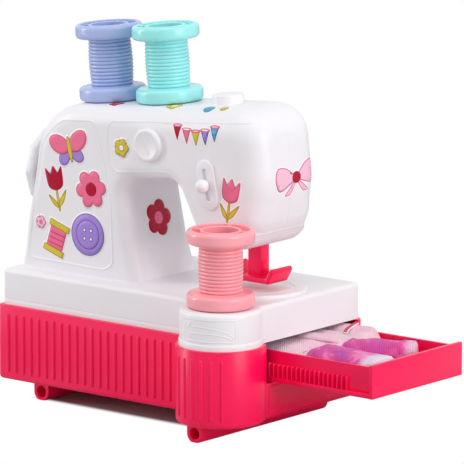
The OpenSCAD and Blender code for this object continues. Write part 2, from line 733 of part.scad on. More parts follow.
// Involute flank: half angle of a tooth at one radius, thinned by half the backlash
pressure = 20;
base_circle = pinion_r * cos(pressure);
function involute(a) = tan(a) * 180 / PI - a;
function tooth_half(r) = 90 / pinion_teeth - backlash / 4 / pinion_r * 180 / PI
    + involute(pressure) - involute(acos(min(1, base_circle / r)));
function spot(r, a) = [r * cos(a), r * sin(a)];
flank_steps = 4;
module drive_pinion() color(white) translate([tower_x, tower_y, rack_z + 0.5]) {
    tip = pinion_r + gear_mod;
    root = pinion_r - 1.25 * gear_mod;
    step = 360 / pinion_teeth;
    // A gap between two teeth faces the rack
    first = 90 + step / 2;
    linear_extrude(rack_h - 1) difference() {
        polygon([for (k = [0 : pinion_teeth - 1]) let (mid = first + k * step) each concat(
            [spot(root, mid - tooth_half(base_circle))],
            [for (i = [0 : flank_steps]) let (r = base_circle + (tip - base_circle) * i / flank_steps)
                spot(r, mid - tooth_half(r))],
            [for (i = [flank_steps : -1 : 0]) let (r = base_circle + (tip - base_circle) * i / flank_steps)
                spot(r, mid + tooth_half(r))],
            [spot(root, mid + tooth_half(base_circle))])]);
        circle(drive_shaft_r + pilot_gap);
    }
}

// Drawer

module drawer() color(hot_pink) {
    depth = drawer_back_y - rack_root_y;
    length = drawer_inner_x1 - drawer_x0;
    translate([drawer_inner_x1, drawer_y0, z_drawer]) cube([face_t, drawer_y1 - drawer_y0, drawer_h]);
    translate([drawer_x0, rack_root_y, z_drawer]) difference() {
        cube([length, depth, drawer_rim - z_drawer]);
        translate([drawer_wall, drawer_wall, drawer_floor])
            cube([length - drawer_wall, depth - 2 * drawer_wall, drawer_h]);
    }
    // Ledge under the rack
    translate([drawer_x0, ledge_y, z_drawer]) cube([length, rack_root_y - ledge_y, ledge_t]);
}

// Rack on the drawer's near side: straight-flanked teeth that point at the tower
module drawer_rack() color(hot_pink) {
    half_root = gear_pitch / 4 - backlash / 4 + 1.25 * gear_mod * tan(pressure);
    half_tip = gear_pitch / 4 - backlash / 4 - gear_mod * tan(pressure);
    translate([0, 0, rack_z]) linear_extrude(rack_h) for (k = [0 : rack_teeth - 1])
        let (x = rack_first + k * gear_pitch)
            polygon([[x - half_root, rack_root_y], [x - half_tip, rack_tip_y], [x + half_tip, rack_tip_y],
                [x + half_root, rack_root_y]]);
}

// Garment: a folded knit body with two soft legs

// A flattened roll along X: lengths, widths and thicknesses swell and sink between its ends
roll_sides = 16;
roll_rings = 14;
function roll_row(x, y, z, w, t) = [for (k = [0 : roll_sides - 1]) let (a = 360 * k / roll_sides)
    [x, y + w / 2 * sign(cos(a)) * pow(abs(cos(a)), 0.8), z + t / 2 + t / 2 * sign(sin(a)) * pow(abs(sin(a)), 0.8)]];
function swell(s) = 0.55 + 0.45 * pow(sin(180 * min(0.97, max(0.03, s))), 0.35);
function wave(s, turns) = sin(360 * turns * s);
module roll(x0, x1, y0, y1, z, w, t, folds) {
    loft([for (i = [0 : roll_rings]) let (s = i / roll_rings, fold = 1 + 0.07 * wave(s, folds))
        roll_row(x0 + (x1 - x0) * s, y0 + (y1 - y0) * s, z, w * swell(s), t * swell(s) * fold)],
        flat_end(roll_sides));
}
cloth_z = z_drawer + drawer_floor + slide_gap;
cloth_len = cloth_share * drawer_len;
leg_len = leg_share * drawer_len;
cloth_x = drawer_inner_x1 - leg_len - 3;
cloth_side = rack_root_y + drawer_wall + 1.2;
cloth_y = cloth_side + cloth_w / 2;
leg_near_y = cloth_side + leg_w / 2;
leg_far_x = cloth_x + 1.2 + leg_w / 2 * sin(leg_turn);
leg_far_y = leg_near_y + leg_w / 2 + 1.2 + leg_w / 2 * cos(leg_turn);
module garment_body() color(knit_pink)
    roll(cloth_x - cloth_len, cloth_x, cloth_y, cloth_y, cloth_z, cloth_w, cloth_t, 3);
module garment_leg_near() color(dye_purple)
    roll(cloth_x + 1, cloth_x + leg_len + 1, leg_near_y, leg_near_y, cloth_z, leg_w, leg_t, 4);
module garment_leg_far() color(dye_purple)
    translate([leg_far_x, leg_far_y, 0]) rotate([0, 0, leg_turn])
        roll(0, 0.75 * leg_len, 0, 0, cloth_z, leg_w, leg_t, 4);

// Handwheel, on a bush in the pillar

bush_r = 8;
module along_x(at) translate(at) rotate([0, 90, 0]) children();
module handwheel() color(white) along_x(wheel_at) difference() {
    // A corner points at the front
    rotate(90) cylinder(r = wheel_r, h = wheel_t, $fn = 10);
    translate([0, 0, -cut]) cylinder(r = wheel_shaft_r + pilot_gap, h = wheel_t + 2 * cut);
    translate([0, 0, -cut]) difference() {
        cylinder(r = wheel_r - 6, h = wheel_t / 3 + cut);
        translate([0, 0, -cut]) cylinder(r = bush_r, h = wheel_t + 3 * cut);
    }
}
bush_len = 10;
module handwheel_bush() color(white) along_x(wheel_at + [wheel_t + slide_gap, 0, 0]) difference() {
    cylinder(r = bush_r, h = bush_len);
    translate([0, 0, -cut]) cylinder(r = wheel_shaft_r + run_gap, h = bush_len + 2 * cut);
}
module handwheel_shaft() color(steel) along_x(wheel_at + [0.5, 0, 0]) difference() {
    cylinder(r = wheel_shaft_r, h = wheel_t + bush_len + 8);
    translate([0, 0, wheel_clip_at - 0.5 - pilot_gap]) difference() {
        cylinder(r = wheel_shaft_r + cut, h = clip_t + 2 * pilot_gap);
        translate([0, 0, -cut]) cylinder(r = wheel_shaft_r - 0.8, h = clip_t + 3 * cut);
    }
}
wheel_clip_at = wheel_t + bush_len + 2 * slide_gap;
module handwheel_clip() color(steel) along_x(wheel_at + [wheel_clip_at, 0, 0]) difference() {
    cylinder(r = wheel_shaft_r + 2.4, h = clip_t);
    translate([0, 0, -cut]) cylinder(r = wheel_shaft_r - 0.8 + pilot_gap, h = clip_t + 2 * cut);
}

// Presser: button, plunger, bar and foot move together against a spring

guide_x = bar_x + 2.4;
guide_y = bar_y + 2.4;
guide_h = 8;
guide_z = z_deck + head_clear + 1.2;
spring_len = 12;
plunger_z = guide_z + guide_h + spring_len;
plunger_t = 4;
sole_z = z_deck + sole_gap;
module presser_guide() color(white) difference() {
    translate([presser_x - guide_x / 2 + pilot_gap, body_y - guide_y / 2 + pilot_gap, guide_z])
        cube([guide_x - 2 * pilot_gap, guide_y - 2 * pilot_gap, guide_h]);
    translate([presser_x - bar_x / 2 - slide_gap, body_y - bar_y / 2 - slide_gap, guide_z - cut])
        cube([bar_x + 2 * slide_gap, bar_y + 2 * slide_gap, guide_h + 2 * cut]);
}
module presser_bar() color(hot_pink)
    translate([presser_x - bar_x / 2, body_y - bar_y / 2, sole_z + sole_t])
        cube([bar_x, bar_y, plunger_z - sole_z - sole_t]);
// A boat-shaped sole: both ends of its section turn up
curl_angle = 61;
curl_len = 6.2;
module presser_foot() color(hot_pink) translate([presser_x, body_y + sole_w / 2, sole_z]) rotate([90, 0, 0])
    linear_extrude(sole_w) {
        translate([-sole_len / 2, 0]) square([sole_len, sole_t]);
        for (end = [0, 1]) mirror([end, 0]) translate([sole_len / 2, sole_t / 2]) {
            circle(sole_t / 2);
            rotate(curl_angle) {
                translate([0, -sole_t / 2]) square([curl_len, sole_t]);
                translate([curl_len, 0]) circle(sole_t / 2);
            }
        }
    }
module presser_plunger() color(hot_pink) {
    reach = [button_seat.x - bar_x / 2, presser_x + bar_x / 2];
    translate([reach[0], body_y - bar_y / 2, plunger_z]) cube([reach[1] - reach[0], bar_y, plunger_t]);
    translate([button_seat.x, body_y, plunger_z + plunger_t])
        cylinder(r = bar_y / 2, h = button_seat.z - button_skirt - plunger_z - plunger_t);
}
button_skirt = 5;
button_up = press_travel + 1.9;
module press_button() color(white) difference() {
    translate([button_seat.x, body_y, button_seat.z - button_skirt])
        cylinder(r = button_r, h = button_skirt + button_up + button_r * arm_rise + cut);
    // The top follows the slope of the arm
    translate([button_seat.x, body_y, button_seat.z + button_up]) rotate([0, -arm_tilt, 0])
        translate([-2 * button_r, -2 * button_r, 0]) cube([4 * button_r, 4 * button_r, button_r]);
}

// Return spring round the bar, between the guide and the plunger
spring_wire = 0.5;
spring_r = norm([bar_x, bar_y]) / 2 + slide_gap + spring_wire;
spring_turns = 4;
spring_rings = 8;
function spring_spot(s) = let (a = 360 * spring_turns * s) [presser_x + spring_r * cos(a), body_y + spring_r * sin(a),
    guide_z + guide_h + spring_wire + slide_gap / 2 + s * (spring_len - 2 * spring_wire - slide_gap)];
function spring_row(s) = let (a = 360 * spring_turns * s, out = [cos(a), sin(a), 0])
    [for (k = [0 : 5]) spring_spot(s) + spring_wire * (cos(60 * k) * out + sin(60 * k) * [0, 0, 1])];
spring_gap = (spring_len - 2 * spring_wire - slide_gap) / spring_turns - 2 * spring_wire;
module presser_spring() color(steel) {
    echo(spring_gap = spring_gap);
    loft([for (i = [0 : spring_turns * spring_rings]) spring_row(i / (spring_turns * spring_rings))], flat_end(6));
}

// Dial and take-up on the front

dial_shaft_r = 2.5;
module along_y(at, h, y) translate([body_x + at, y, z_deck + h]) rotate([-90, 0, 0]) children();
module stitch_dial() color(white) {
    along_y(dial_place, dial_z, face_y - slide_gap) rotate([180, 0, 0]) puck(dial_r, dial_t, 1.2);
    along_y(dial_place, dial_z, face_y - slide_gap - cut)
        cylinder(r = dial_shaft_r, h = shell_wall + 2 * slide_gap + clip_t + cut);
}
module dial_clip() color(steel) along_y(dial_place, dial_z, face_y + shell_wall + slide_gap) difference() {
    cylinder(r = dial_shaft_r + 2.5, h = clip_t);
    translate([0, 0, -cut]) cylinder(r = dial_shaft_r + pilot_gap, h = clip_t + 2 * cut);
}

stem_r = 1.5;
plate_w = 12;
take_plate_t = 1.2;
// Moves what is drawn round the take-up's own upright slot to its place on the head
module take_frame() translate([body_x + along(take_at), 0, z_deck + take_z]) rotate([0, -take_lean, 0]) children();
// A flat piece with round ends, standing upright, from one depth backwards
module upright_bar(y, t, r, length) translate([0, y, 0]) rotate([-90, 0, 0]) {
    for (z = [-1, 1]) translate([0, z * (length / 2 - r), 0]) cylinder(r = r, h = t, $fn = 48);
    translate([-r, r - length / 2, 0]) cube([2 * r, length - 2 * r, t]);
}
module take_slot_cut(y, t) upright_bar(y, t, stem_r + slide_gap / 2, take_slot);
module take_up_guide() color(white) take_frame() difference() {
    upright_bar(face_y - take_plate_t, take_plate_t, plate_w / 2, take_slot + plate_w - 2);
    take_slot_cut(face_y - take_plate_t - cut, take_plate_t + 2 * cut);
}
take_travel = take_slot / 2 - stem_r - slide_gap;
module take_up_knob() color(white) take_frame() {
    translate([0, face_y - take_plate_t - slide_gap - take_r * 0.87, 0]) sphere(r = take_r);
    translate([0, face_y - take_plate_t - take_r, 0]) rotate([-90, 0, 0])
        cylinder(r = stem_r, h = take_plate_t + take_r + shell_wall + slide_gap);
}
module take_up_slider() color(steel) take_frame()
    translate([-3, face_y + shell_wall + slide_gap, -3]) cube([6, 2, 6]);

base_tray();
foot_rail_left();
foot_rail_right();
drawer_rail_front();
drawer_rail_back();
deck_cover();
needle_plate();
body_front_shell();
body_rear_shell();
reel_post_left();
reel_post_right();
handwheel_bush();
presser_guide();
presser_spring();
take_up_guide();
base_screws();
deck_screws();
body_screws();
foot_screws();
handwheel();
handwheel_shaft();
handwheel_clip();
drawer();
drawer_rack();
garment_body();
garment_leg_near();
garment_leg_far();
drive_reel();
drive_shaft();
drive_pinion();
drive_clip();
reel_lavender();
reel_turquoise();
press_button();
presser_plunger();
presser_bar();
presser_foot();
stitch_dial();
dial_clip();
take_up_knob();
take_up_slider();
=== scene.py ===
# %% [markdown]
# # Toy sewing machine
# The CAD model gives the frame: it fixes where every part sits and how it moves. This lesson builds the looks
# around it, part by part: rounded plastic shells, ribbed reels, a geared drawer and a knitted garment.
# Sizes are in millimetres, in the CAD model's own frame, and are turned into metres when a piece is made.

# %% load the frame
import math

import bmesh
import bpy
from mathutils import Matrix, Vector, noise
from mathutils.bvhtree import BVHTree


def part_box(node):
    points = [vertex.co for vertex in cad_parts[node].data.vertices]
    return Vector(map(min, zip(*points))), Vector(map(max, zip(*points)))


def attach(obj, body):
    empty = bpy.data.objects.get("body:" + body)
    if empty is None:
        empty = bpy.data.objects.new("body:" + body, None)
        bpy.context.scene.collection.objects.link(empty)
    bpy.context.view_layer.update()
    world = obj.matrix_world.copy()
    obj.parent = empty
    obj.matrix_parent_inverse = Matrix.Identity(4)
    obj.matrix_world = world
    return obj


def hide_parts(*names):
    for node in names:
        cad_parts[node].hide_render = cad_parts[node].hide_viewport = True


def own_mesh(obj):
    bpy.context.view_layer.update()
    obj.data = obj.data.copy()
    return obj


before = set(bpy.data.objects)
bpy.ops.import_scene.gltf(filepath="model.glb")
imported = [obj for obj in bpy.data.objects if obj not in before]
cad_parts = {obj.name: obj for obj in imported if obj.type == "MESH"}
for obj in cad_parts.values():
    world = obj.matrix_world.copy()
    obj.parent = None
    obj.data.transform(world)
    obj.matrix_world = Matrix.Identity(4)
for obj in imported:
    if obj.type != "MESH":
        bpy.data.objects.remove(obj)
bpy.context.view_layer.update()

# %% [markdown]
# The places below are those of the CAD source: the base, the deck, the tower, the body and the drawer.

# %% sizes
MM = 0.001
BASE_LEN, BASE_DEP, REACH = 184.0, 100.0, 71.0
X_LEFT = -(BASE_LEN + REACH) / 2
X_END = X_LEFT + BASE_LEN
TOWER_R, TOWER_IN, TOWER_OUT, RIB_OUT = 24.8, 20.0, 2.2, 0.56
Y_BACK = (BASE_DEP + TOWER_OUT + TOWER_R + RIB_OUT) / 2
Y_FRONT = Y_BACK - BASE_DEP
TOWER = Vector((X_END - TOWER_IN, Y_FRONT - TOWER_OUT, 0))
Z_TRAY, Z_FLOOR, Z_SPLIT, Z_DECK = 10.4, 12.8, 53.2, 73.7
TRAY_WALL = 2.4
CORNER_R = 2.6
DECK_INSET = 2.0
BODY_X = X_LEFT + 4.6
BODY_Y = Y_FRONT + 44.5
BODY_DEP = 55.0
FACE_Y, REAR_Y = BODY_Y - BODY_DEP / 2, BODY_Y + BODY_DEP / 2
ARM_TILT = math.radians(4.8)
SHOULDER_H, PILLAR_LEAN = 92.5, 10.0
DRAWER_FACE = X_END + REACH
DRAWER_LEN, DRAWER_H = 106.5, 18.6
DRAWER_BACK = DRAWER_FACE - DRAWER_LEN
FACE_T = 2.5
Z_DRAWER_TOP = Z_SPLIT - 3
Z_DRAWER = Z_DRAWER_TOP - DRAWER_H
PINION_REACH = 19.1
RACK_PITCH_Y = TOWER.y + PINION_REACH
RACK_TIP_Y, RACK_ROOT_Y = RACK_PITCH_Y - 1, RACK_PITCH_Y + 1.25
DRAWER_JAMB = 4.0
DRAWER_Y0, DRAWER_Y1 = RACK_TIP_Y - 0.6, Y_BACK - DRAWER_JAMB - 0.3
DRAWER_WALL_Y1 = Y_BACK - DRAWER_JAMB - TRAY_WALL - 0.6
PRESSER_X = BODY_X + 148.1


def arm_top(at):
    """Height of the arm's top above the deck, at a distance from the pillar foot."""
    return SHOULDER_H + (at - PILLAR_LEAN) * math.tan(ARM_TILT)


# %% [markdown]
# Every piece is made the same way: a mesh in millimetres becomes an object at the origin and gets a material.
# It rides on its CAD body, and most pieces stand for a CAD node.

# %% making pieces
MADE = []


def to_object(name, bm):
    """Turns a mesh into an object of the scene."""
    mesh = bpy.data.meshes.new(name)
    bm.to_mesh(mesh)
    bm.free()
    obj = bpy.data.objects.new(name, mesh)
    bpy.context.scene.collection.objects.link(obj)
    return obj


def smooth_edges(bm, limit):
    """Smooths the edges whose two faces meet at less than an angle in degrees."""
    for edge in bm.edges:
        edge.smooth = len(edge.link_faces) == 2 and edge.calc_face_angle(3.0) < math.radians(limit)


def finish_mesh(name, bm, body, material, replaces=(), smooth=35.0, weld=True):
    """Turns a mesh in millimetres into a piece of the object."""
    if weld:
        bmesh.ops.remove_doubles(bm, verts=bm.verts, dist=0.004)
        bmesh.ops.dissolve_degenerate(bm, edges=bm.edges, dist=0.0005)
        bmesh.ops.recalc_face_normals(bm, faces=bm.faces)
    bm.transform(Matrix.Scale(MM, 4))
    for face in bm.faces:
        face.smooth = True
    smooth_edges(bm, smooth)
    obj = to_object(name, bm)
    for look in material if isinstance(material, list) else [material]:
        obj.data.materials.append(look)
    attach(obj, body)
    if replaces:
        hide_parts(*replaces)
    MADE.append(name)
    return obj


def add_section_walls(bm, sections, closed=True, capped=False):
    """Joins rows of points, each row to the next, with a face on each end if capped; gives back the rows."""
    rows = [[bm.verts.new(p) for p in row] for row in sections]
    count = len(rows[0])
    for a, b in zip(rows, rows[1:]):
        for j in range(count if closed else count - 1):
            k = (j + 1) % count
            bm.faces.new((a[j], a[k], b[k], b[j]))
    if capped:
        bm.faces.new(rows[0])
        bm.faces.new(rows[-1])
    return rows


def round_edges(bm, verts, bevel, segments):
    """Rounds every edge that ends at one of the vertices."""
    edges = list({e for v in verts for e in v.link_edges})
    bmesh.ops.bevel(bm, geom=edges, offset=bevel, offset_type="OFFSET", segments=segments, profile=0.5,
                    affect="EDGES", material=-1)


def add_box(bm, low, high, bevel=0.4, segments=2):
    """A box with rounded edges; gives back its vertices, which last only without a bevel."""
    size = Vector(high) - Vector(low)
    middle = (Vector(high) + Vector(low)) / 2
    matrix = Matrix.Translation(middle) @ Matrix.Diagonal((*size, 1))
    made = bmesh.ops.create_cube(bm, size=1, matrix=matrix)
    if bevel:
        round_edges(bm, made["verts"], bevel, segments)
    return made["verts"]


def add_lathe(bm, profile, place=Matrix(), steps=96):
    """Spins a profile of (radius, height) points round Z, then puts it in place."""
    verts = [bm.verts.new(place @ Vector((r, 0, z))) for r, z in profile]
    edges = [bm.edges.new(pair) for pair in zip(verts, verts[1:])]
    axis = (place.to_3x3() @ Vector((0, 0, 1))).normalized()
    bmesh.ops.spin(bm, geom=verts + edges, cent=place.to_translation(), axis=axis, dvec=(0, 0, 0),
                   angle=2 * math.pi, steps=steps, use_merge=True)


def turn(degrees, axis):
    """A turn by degrees about X, Y or Z."""
    return Matrix.Rotation(math.radians(degrees), 4, axis)


def arc(cx, cz, r, start, end, steps=6):
    """Points on an arc in a plane, by angles in degrees."""
    return [(cx + r * math.cos(math.radians(start + (end - start) * i / steps)),
             cz + r * math.sin(math.radians(start + (end - start) * i / steps))) for i in range(steps + 1)]


def add_prism(bm, outline, place, depth, bevel=0.3, segments=2):
    """Extrudes a flat outline and rounds its edges."""
    verts = [bm.verts.new(place @ Vector((x, y, 0))) for x, y in outline]
    base = bm.faces.new(verts)
    made = bmesh.ops.extrude_face_region(bm, geom=[base])
    top = [v for v in made["geom"] if isinstance(v, bmesh.types.BMVert)]
    normal = (place.to_3x3() @ Vector((0, 0, 1))).normalized()
    bmesh.ops.translate(bm, verts=top, vec=normal * depth)
    round_edges(bm, top + verts, bevel, segments)


def smooth_path(points, closed=False, per=8):
    """A smooth curve through points in the plane."""
    count = len(points)
    result = []
    for i in range(count if closed else count - 1):
        if closed:
            a, b, c, d = (Vector(points[(i + k) % count]) for k in (-1, 0, 1, 2))
        else:
            a, b, c, d = (Vector(points[min(max(i + k, 0), count - 1)]) for k in (-1, 0, 1, 2))
        for k in range(per):
            s = k / per
            result.append(0.5 * (2 * b + (c - a) * s + (2 * a - 5 * b + 4 * c - d) * s * s
                                 + (3 * b - a - 3 * c + d) * s ** 3))
    if not closed:
        result.append(Vector(points[-1]))
    return result


def corner_path(points, radius, closed=False):
    """Straight runs with rounded corners, as points about 2 mm apart."""
    count = len(points)
    result = []
    for i in range(count):
        here = Vector(points[i])
        if not closed and i in (0, count - 1):
            result.append(here)
            continue
        a = Vector(points[i - 1]) - here
        b = Vector(points[(i + 1) % count]) - here
        cut = min(radius, a.length * 0.48, b.length * 0.48)
        first, last = here + a.normalized() * cut, here + b.normalized() * cut
        for k in range(9):
            s = k / 8
            result.append(first.lerp(here, s).lerp(here.lerp(last, s), s))
    full = []
    for a, b in zip(result, result[1:] + (result[:1] if closed else [])):
        steps = max(1, int((b - a).length / 2))
        full += [a.lerp(b, k / steps) for k in range(steps)]
    return full if closed else full + [result[-1]]


# %% [markdown]
# Materials are node trees. The moulded plastics carry a faint unevenness of colour and gloss, and a fine bump
# from the mould's texture. Pattern scales are counts per metre, so every pattern has a real size.

# %% colours and nodes
NODE_COLUMNS, NODE_GRID = 6, 260


def linear(text):
    """An sRGB hex colour as linear RGBA."""
    values = [int(text[i:i + 2], 16) / 255 for i in (1, 3, 5)]
    return tuple(v / 12.92 if v <= 0.04045 else ((v + 0.055) / 1.055) ** 2.4 for v in values) + (1.0,)


def fill(tree, node, values):
    """Fills sockets, by name or place: with a link from another socket, a hex colour or a value."""
    for key, value in values.items():
        if isinstance(value, bpy.types.NodeSocket):
            tree.links.new(value, node.inputs[key])
        else:
            node.inputs[key].default_value = linear(value) if isinstance(value, str) else value


def put(tree, kind, settings=None, ordered=(), **sockets):
    """Adds one node with its settings, and fills its sockets in order or by name."""
    row, column = divmod(len(tree.nodes), NODE_COLUMNS)
    node = tree.nodes.new("ShaderNode" + kind)
    node.location = (NODE_GRID * (column - NODE_COLUMNS), -NODE_GRID * row)
    for key, value in (settings or {}).items():
        setattr(node, key, value)
    fill(tree, node, dict(enumerate(ordered)))
    fill(tree, node, {key.replace("_", " "): value for key, value in sockets.items()})
    return node


def reckon(tree, operation, *values):
    """Adds a math node and gives back its result."""
    return put(tree, "Math", {"operation": operation}, values).outputs["Value"]


def pattern(tree, coords, scale, detail, **sockets):
    """Adds a noise and gives back its strength."""
    return put(tree, "TexNoise", Vector=coords, Scale=scale, Detail=detail, **sockets).outputs["Fac"]


def start_material(name):
    """A new material with its tree, its Principled shader and Object coordinates."""
    material = bpy.data.materials.new(name)
    material.use_nodes = True
    tree = material.node_tree
    shader = tree.nodes["Principled BSDF"]
    coords = put(tree, "TexCoord")
    return material, tree, shader, coords.outputs["Object"]


# Patches of tone are about 29 mm across, the mould's grain is about 0.4 mm across and 0.04 mm high
CLOUD_SCALE, GRAIN_SCALE, GRAIN_H = 35.0, 2600.0, 0.04 * MM
UNEVEN_GLOSS = 0.12
PLASTIC_IOR = 1.5


def plastic(name, light, shade, rough, bump=0.06, scatter=0.0, mirror=0.5):
    """Moulded plastic: two close tones, uneven gloss and a fine mould texture."""
    material, tree, shader, place = start_material(name)
    cloudy = pattern(tree, place, CLOUD_SCALE, 3.0)
    grain = pattern(tree, place, GRAIN_SCALE, 2.0)
    tone = put(tree, "Mix", {"data_type": "RGBA"}, Factor=cloudy, A=light, B=shade)
    gloss = put(tree, "MapRange", Value=cloudy, To_Min=rough * (1 - UNEVEN_GLOSS),
                To_Max=rough * (1 + UNEVEN_GLOSS))
    lift = put(tree, "Bump", Strength=bump, Distance=GRAIN_H, Height=grain)
    fill(tree, shader, {"Base Color": tone.outputs["Result"], "Roughness": gloss.outputs["Result"],
                        "Normal": lift.outputs["Normal"], "IOR": PLASTIC_IOR, "Specular IOR Level": mirror})
    if scatter:
        fill(tree, shader, {"Subsurface Weight": scatter, "Subsurface Radius": (1.0, 0.6, 0.5),
                            "Subsurface Scale": 2 * MM})
    return material


WHITE = plastic("white_abs", "#F2F0F4", "#ECE9EE", 0.34, mirror=0.35)
INNER_WHITE = plastic("white_inner_abs", "#ECEAEE", "#E4E1E7", 0.45)
PINK = plastic("hot_pink_abs", "#FF0858", "#FA0653", 0.3, mirror=0.34)
SOFT_PINK = plastic("light_pink_abs", "#FFAAB4", "#FFA2AC", 0.25, scatter=0.1)
LAVENDER = plastic("lavender_abs", "#B2C2EC", "#A9B9E8", 0.25, scatter=0.1)
TURQUOISE = plastic("turquoise_abs", "#A6F1F0", "#9AECEC", 0.25, scatter=0.1)

# %% steel
# The drawing marks are about 1 mm across
MARK_SCALE = 900.0


def steel(name, dark, light):
    """Steel with fine drawing marks."""
    material, tree, shader, place = start_material(name)
    marks = pattern(tree, place, MARK_SCALE, 4.0)
    tone = put(tree, "ValToRGB", Fac=marks)
    for stop, colour in zip(tone.color_ramp.elements, (dark, light)):
        stop.color = linear(colour)
    rough = put(tree, "MapRange", Value=marks, To_Min=0.25, To_Max=0.4)
    fill(tree, shader, {"Base Color": tone.outputs["Color"], "Roughness": rough.outputs["Result"],
                        "Metallic": 1.0})
    return material


STEEL = steel("zinc_plated_steel", "#A7A9AE", "#D0D2D6")
# Painted shade: the screws of the base and the feet are steel darkened to the shade they sit in
SHADE_DARKENED_STEEL = steel("steel_painted_shade", "#2B2B2E", "#3A3A3D")
print("plastics and steel are ready")

# %% [markdown]
# ## Base and deck
# The pink base and the white deck share one plan: a rounded rectangle with the round tower on its front right
# corner. Each level of a wall is that plan drawn in by a few millimetres, so every level has the same points
# and the levels join up into walls. The wall is low where the drawer comes out.

# %% plan of base and tower
OPENING_Y = (TOWER.y + math.sqrt(TOWER_R ** 2 - TOWER_IN ** 2) + 0.3, Y_BACK - DRAWER_JAMB - TRAY_WALL)
BACK_CORNER_R = 6.0


def plan(inset, corner=CORNER_R):
    """The plan drawn in, counter-clockwise from the front left, with the drawer's opening marked."""
    r = max(corner - inset, 0.4)
    far_r = max(r, BACK_CORNER_R - inset) if corner == CORNER_R else r
    west, east = X_LEFT + inset, X_END - inset
    south, north = Y_FRONT + inset, Y_BACK - inset
    tower_r = TOWER_R - inset
    front = arc(west + r, south + r, r, 180, 270, 8)
    rise = south - TOWER.y
    meet = TOWER.x - math.sqrt(tower_r ** 2 - rise ** 2)
    front += [(west + r + (meet - west - r) * i / 12, south) for i in range(1, 12)]
    first = 180 - math.degrees(math.asin(rise / tower_r))
    last = 360 + math.degrees(math.acos(min(1, (east - TOWER.x) / tower_r)))
    front += arc(TOWER.x, TOWER.y, tower_r, first, last, 72)
    low, high = OPENING_Y[0], min(OPENING_Y[1], north - far_r - 0.1)
    front += [(east, (front[-1][1] + low) / 2), (east, low)]
    opening = [(east, low), (east, (low + high) / 2), (east, high)]
    rear = [(east, high)] + arc(east - far_r, north - far_r, far_r, 0, 90, 8)
    rear += [(east - far_r + (west - east + far_r + r) * i / 12, north) for i in range(1, 12)]
    rear += arc(west + r, north - r, r, 90, 180, 8)
    runs = ((front, False), (opening, True), (rear, False))
    return [(x, y, opened) for run, opened in runs for x, y in run]


# %% pink base
low_top = Z_DRAWER - 0.6
FOOT_EDGE = 2.6
# Each level: drawn in by, height, and whether it drops at the drawer's opening
tray_levels = [(x, z, 0) for x, z in arc(FOOT_EDGE, Z_TRAY + FOOT_EDGE, FOOT_EDGE, -90, -180)]
tray_levels += [(0, Z_SPLIT - 0.5, 1), (0.15, Z_SPLIT - 0.15, 1), (0.5, Z_SPLIT, 1),
                (TRAY_WALL - 0.3, Z_SPLIT, 1), (TRAY_WALL, Z_SPLIT - 0.3, 1), (TRAY_WALL, Z_FLOOR, 0)]
bm = bmesh.new()
sections = []
for inset, z, follows_top in tray_levels:
    drop = (Z_SPLIT - low_top) * follows_top
    sections.append([(x, y, z - drop if opened else z) for x, y, opened in plan(inset)])
add_section_walls(bm, sections, capped=True)
finish_mesh("base_tray_shell", bm, "machine", PINK, ["base_tray"])

# %% ribs round the base
RIB_R, RIB_PROUD, TOWER_RIB_PROUD = 0.95, 0.9, 0.7
RIBS, RIB_START, RIB_PITCH = 23, 7.9, 5.62
TOWER_RIBS, TOWER_RIB_START, TOWER_RIB_END = 6, 243.0, 310.5
RIB_LOW, RIB_HIGH = Z_TRAY + 4.5, Z_SPLIT - 4.5
bm = bmesh.new()
rib_profile = arc(0, RIB_LOW + RIB_R, RIB_R, -90, 0, 4) + arc(0, RIB_HIGH - RIB_R, RIB_R, 0, 90, 4)
rib_places = [(X_LEFT + RIB_START + RIB_PITCH * i, Y_FRONT + RIB_R - RIB_PROUD) for i in range(RIBS)]
reach = TOWER_R - RIB_R + TOWER_RIB_PROUD
rib_places += arc(TOWER.x, TOWER.y, reach, TOWER_RIB_START, TOWER_RIB_END, TOWER_RIBS - 1)
for x, y in rib_places:
    add_lathe(bm, rib_profile, Matrix.Translation((x, y, 0)), steps=12)
finish_mesh("base_ribs", bm, "machine", PINK)

# %% panel line on the drawer end
bm = bmesh.new()
y0, y1 = OPENING_Y[0] + 2, DRAWER_Y1 - 4
z0, z1 = Z_TRAY + 4, Z_DRAWER - 2.4
LINE_OUT, LINE_IN, LINE_W = X_END + 0.3, X_END - 0.2, 0.7
for low_y, low_z, high_y, high_z in ((y0, z0, y1, z0 + LINE_W), (y0, z1 - LINE_W, y1, z1),
                                     (y0, z0, y0 + LINE_W, z1), (y1 - LINE_W, z0, y1, z1)):
    add_box(bm, (LINE_IN, low_y, low_z), (LINE_OUT, high_y, high_z), 0.2)
finish_mesh("base_end_panel", bm, "machine", PINK)

# %% white deck
DECK_EDGE = 2.6
DECK_SKIN = DECK_INSET + 0.1
LIP_PROUD = 0.45
SKIRT, LIP_TOP = Z_SPLIT + 0.05, Z_SPLIT + 3.6
# Each level: drawn in by, height, and how far it stands out on the tower and on the front
deck_levels = [(DECK_INSET + 2.2, Z_DECK - 2.2, 0, 0), (DECK_INSET + 2.2, SKIRT, 0, 0)]
deck_levels += [(DECK_SKIN, *level) for level in (
    (SKIRT, LIP_PROUD - 0.05, 0.05), (Z_SPLIT + 0.3, LIP_PROUD, 0.1), (LIP_TOP - 0.7, LIP_PROUD, 0.1),
    (LIP_TOP - 0.4, LIP_PROUD - 0.1, 0), (LIP_TOP - 0.3, 0.2, -0.3), (LIP_TOP, 0, -0.3),
    (LIP_TOP + 0.15, 0, 0), (Z_DECK - DECK_EDGE, 0, 0))]
deck_rim = arc(DECK_SKIN + DECK_EDGE, Z_DECK - DECK_EDGE, DECK_EDGE, 180, 90)
deck_levels += [(x, z, 0, 0) for x, z in deck_rim[1:]]


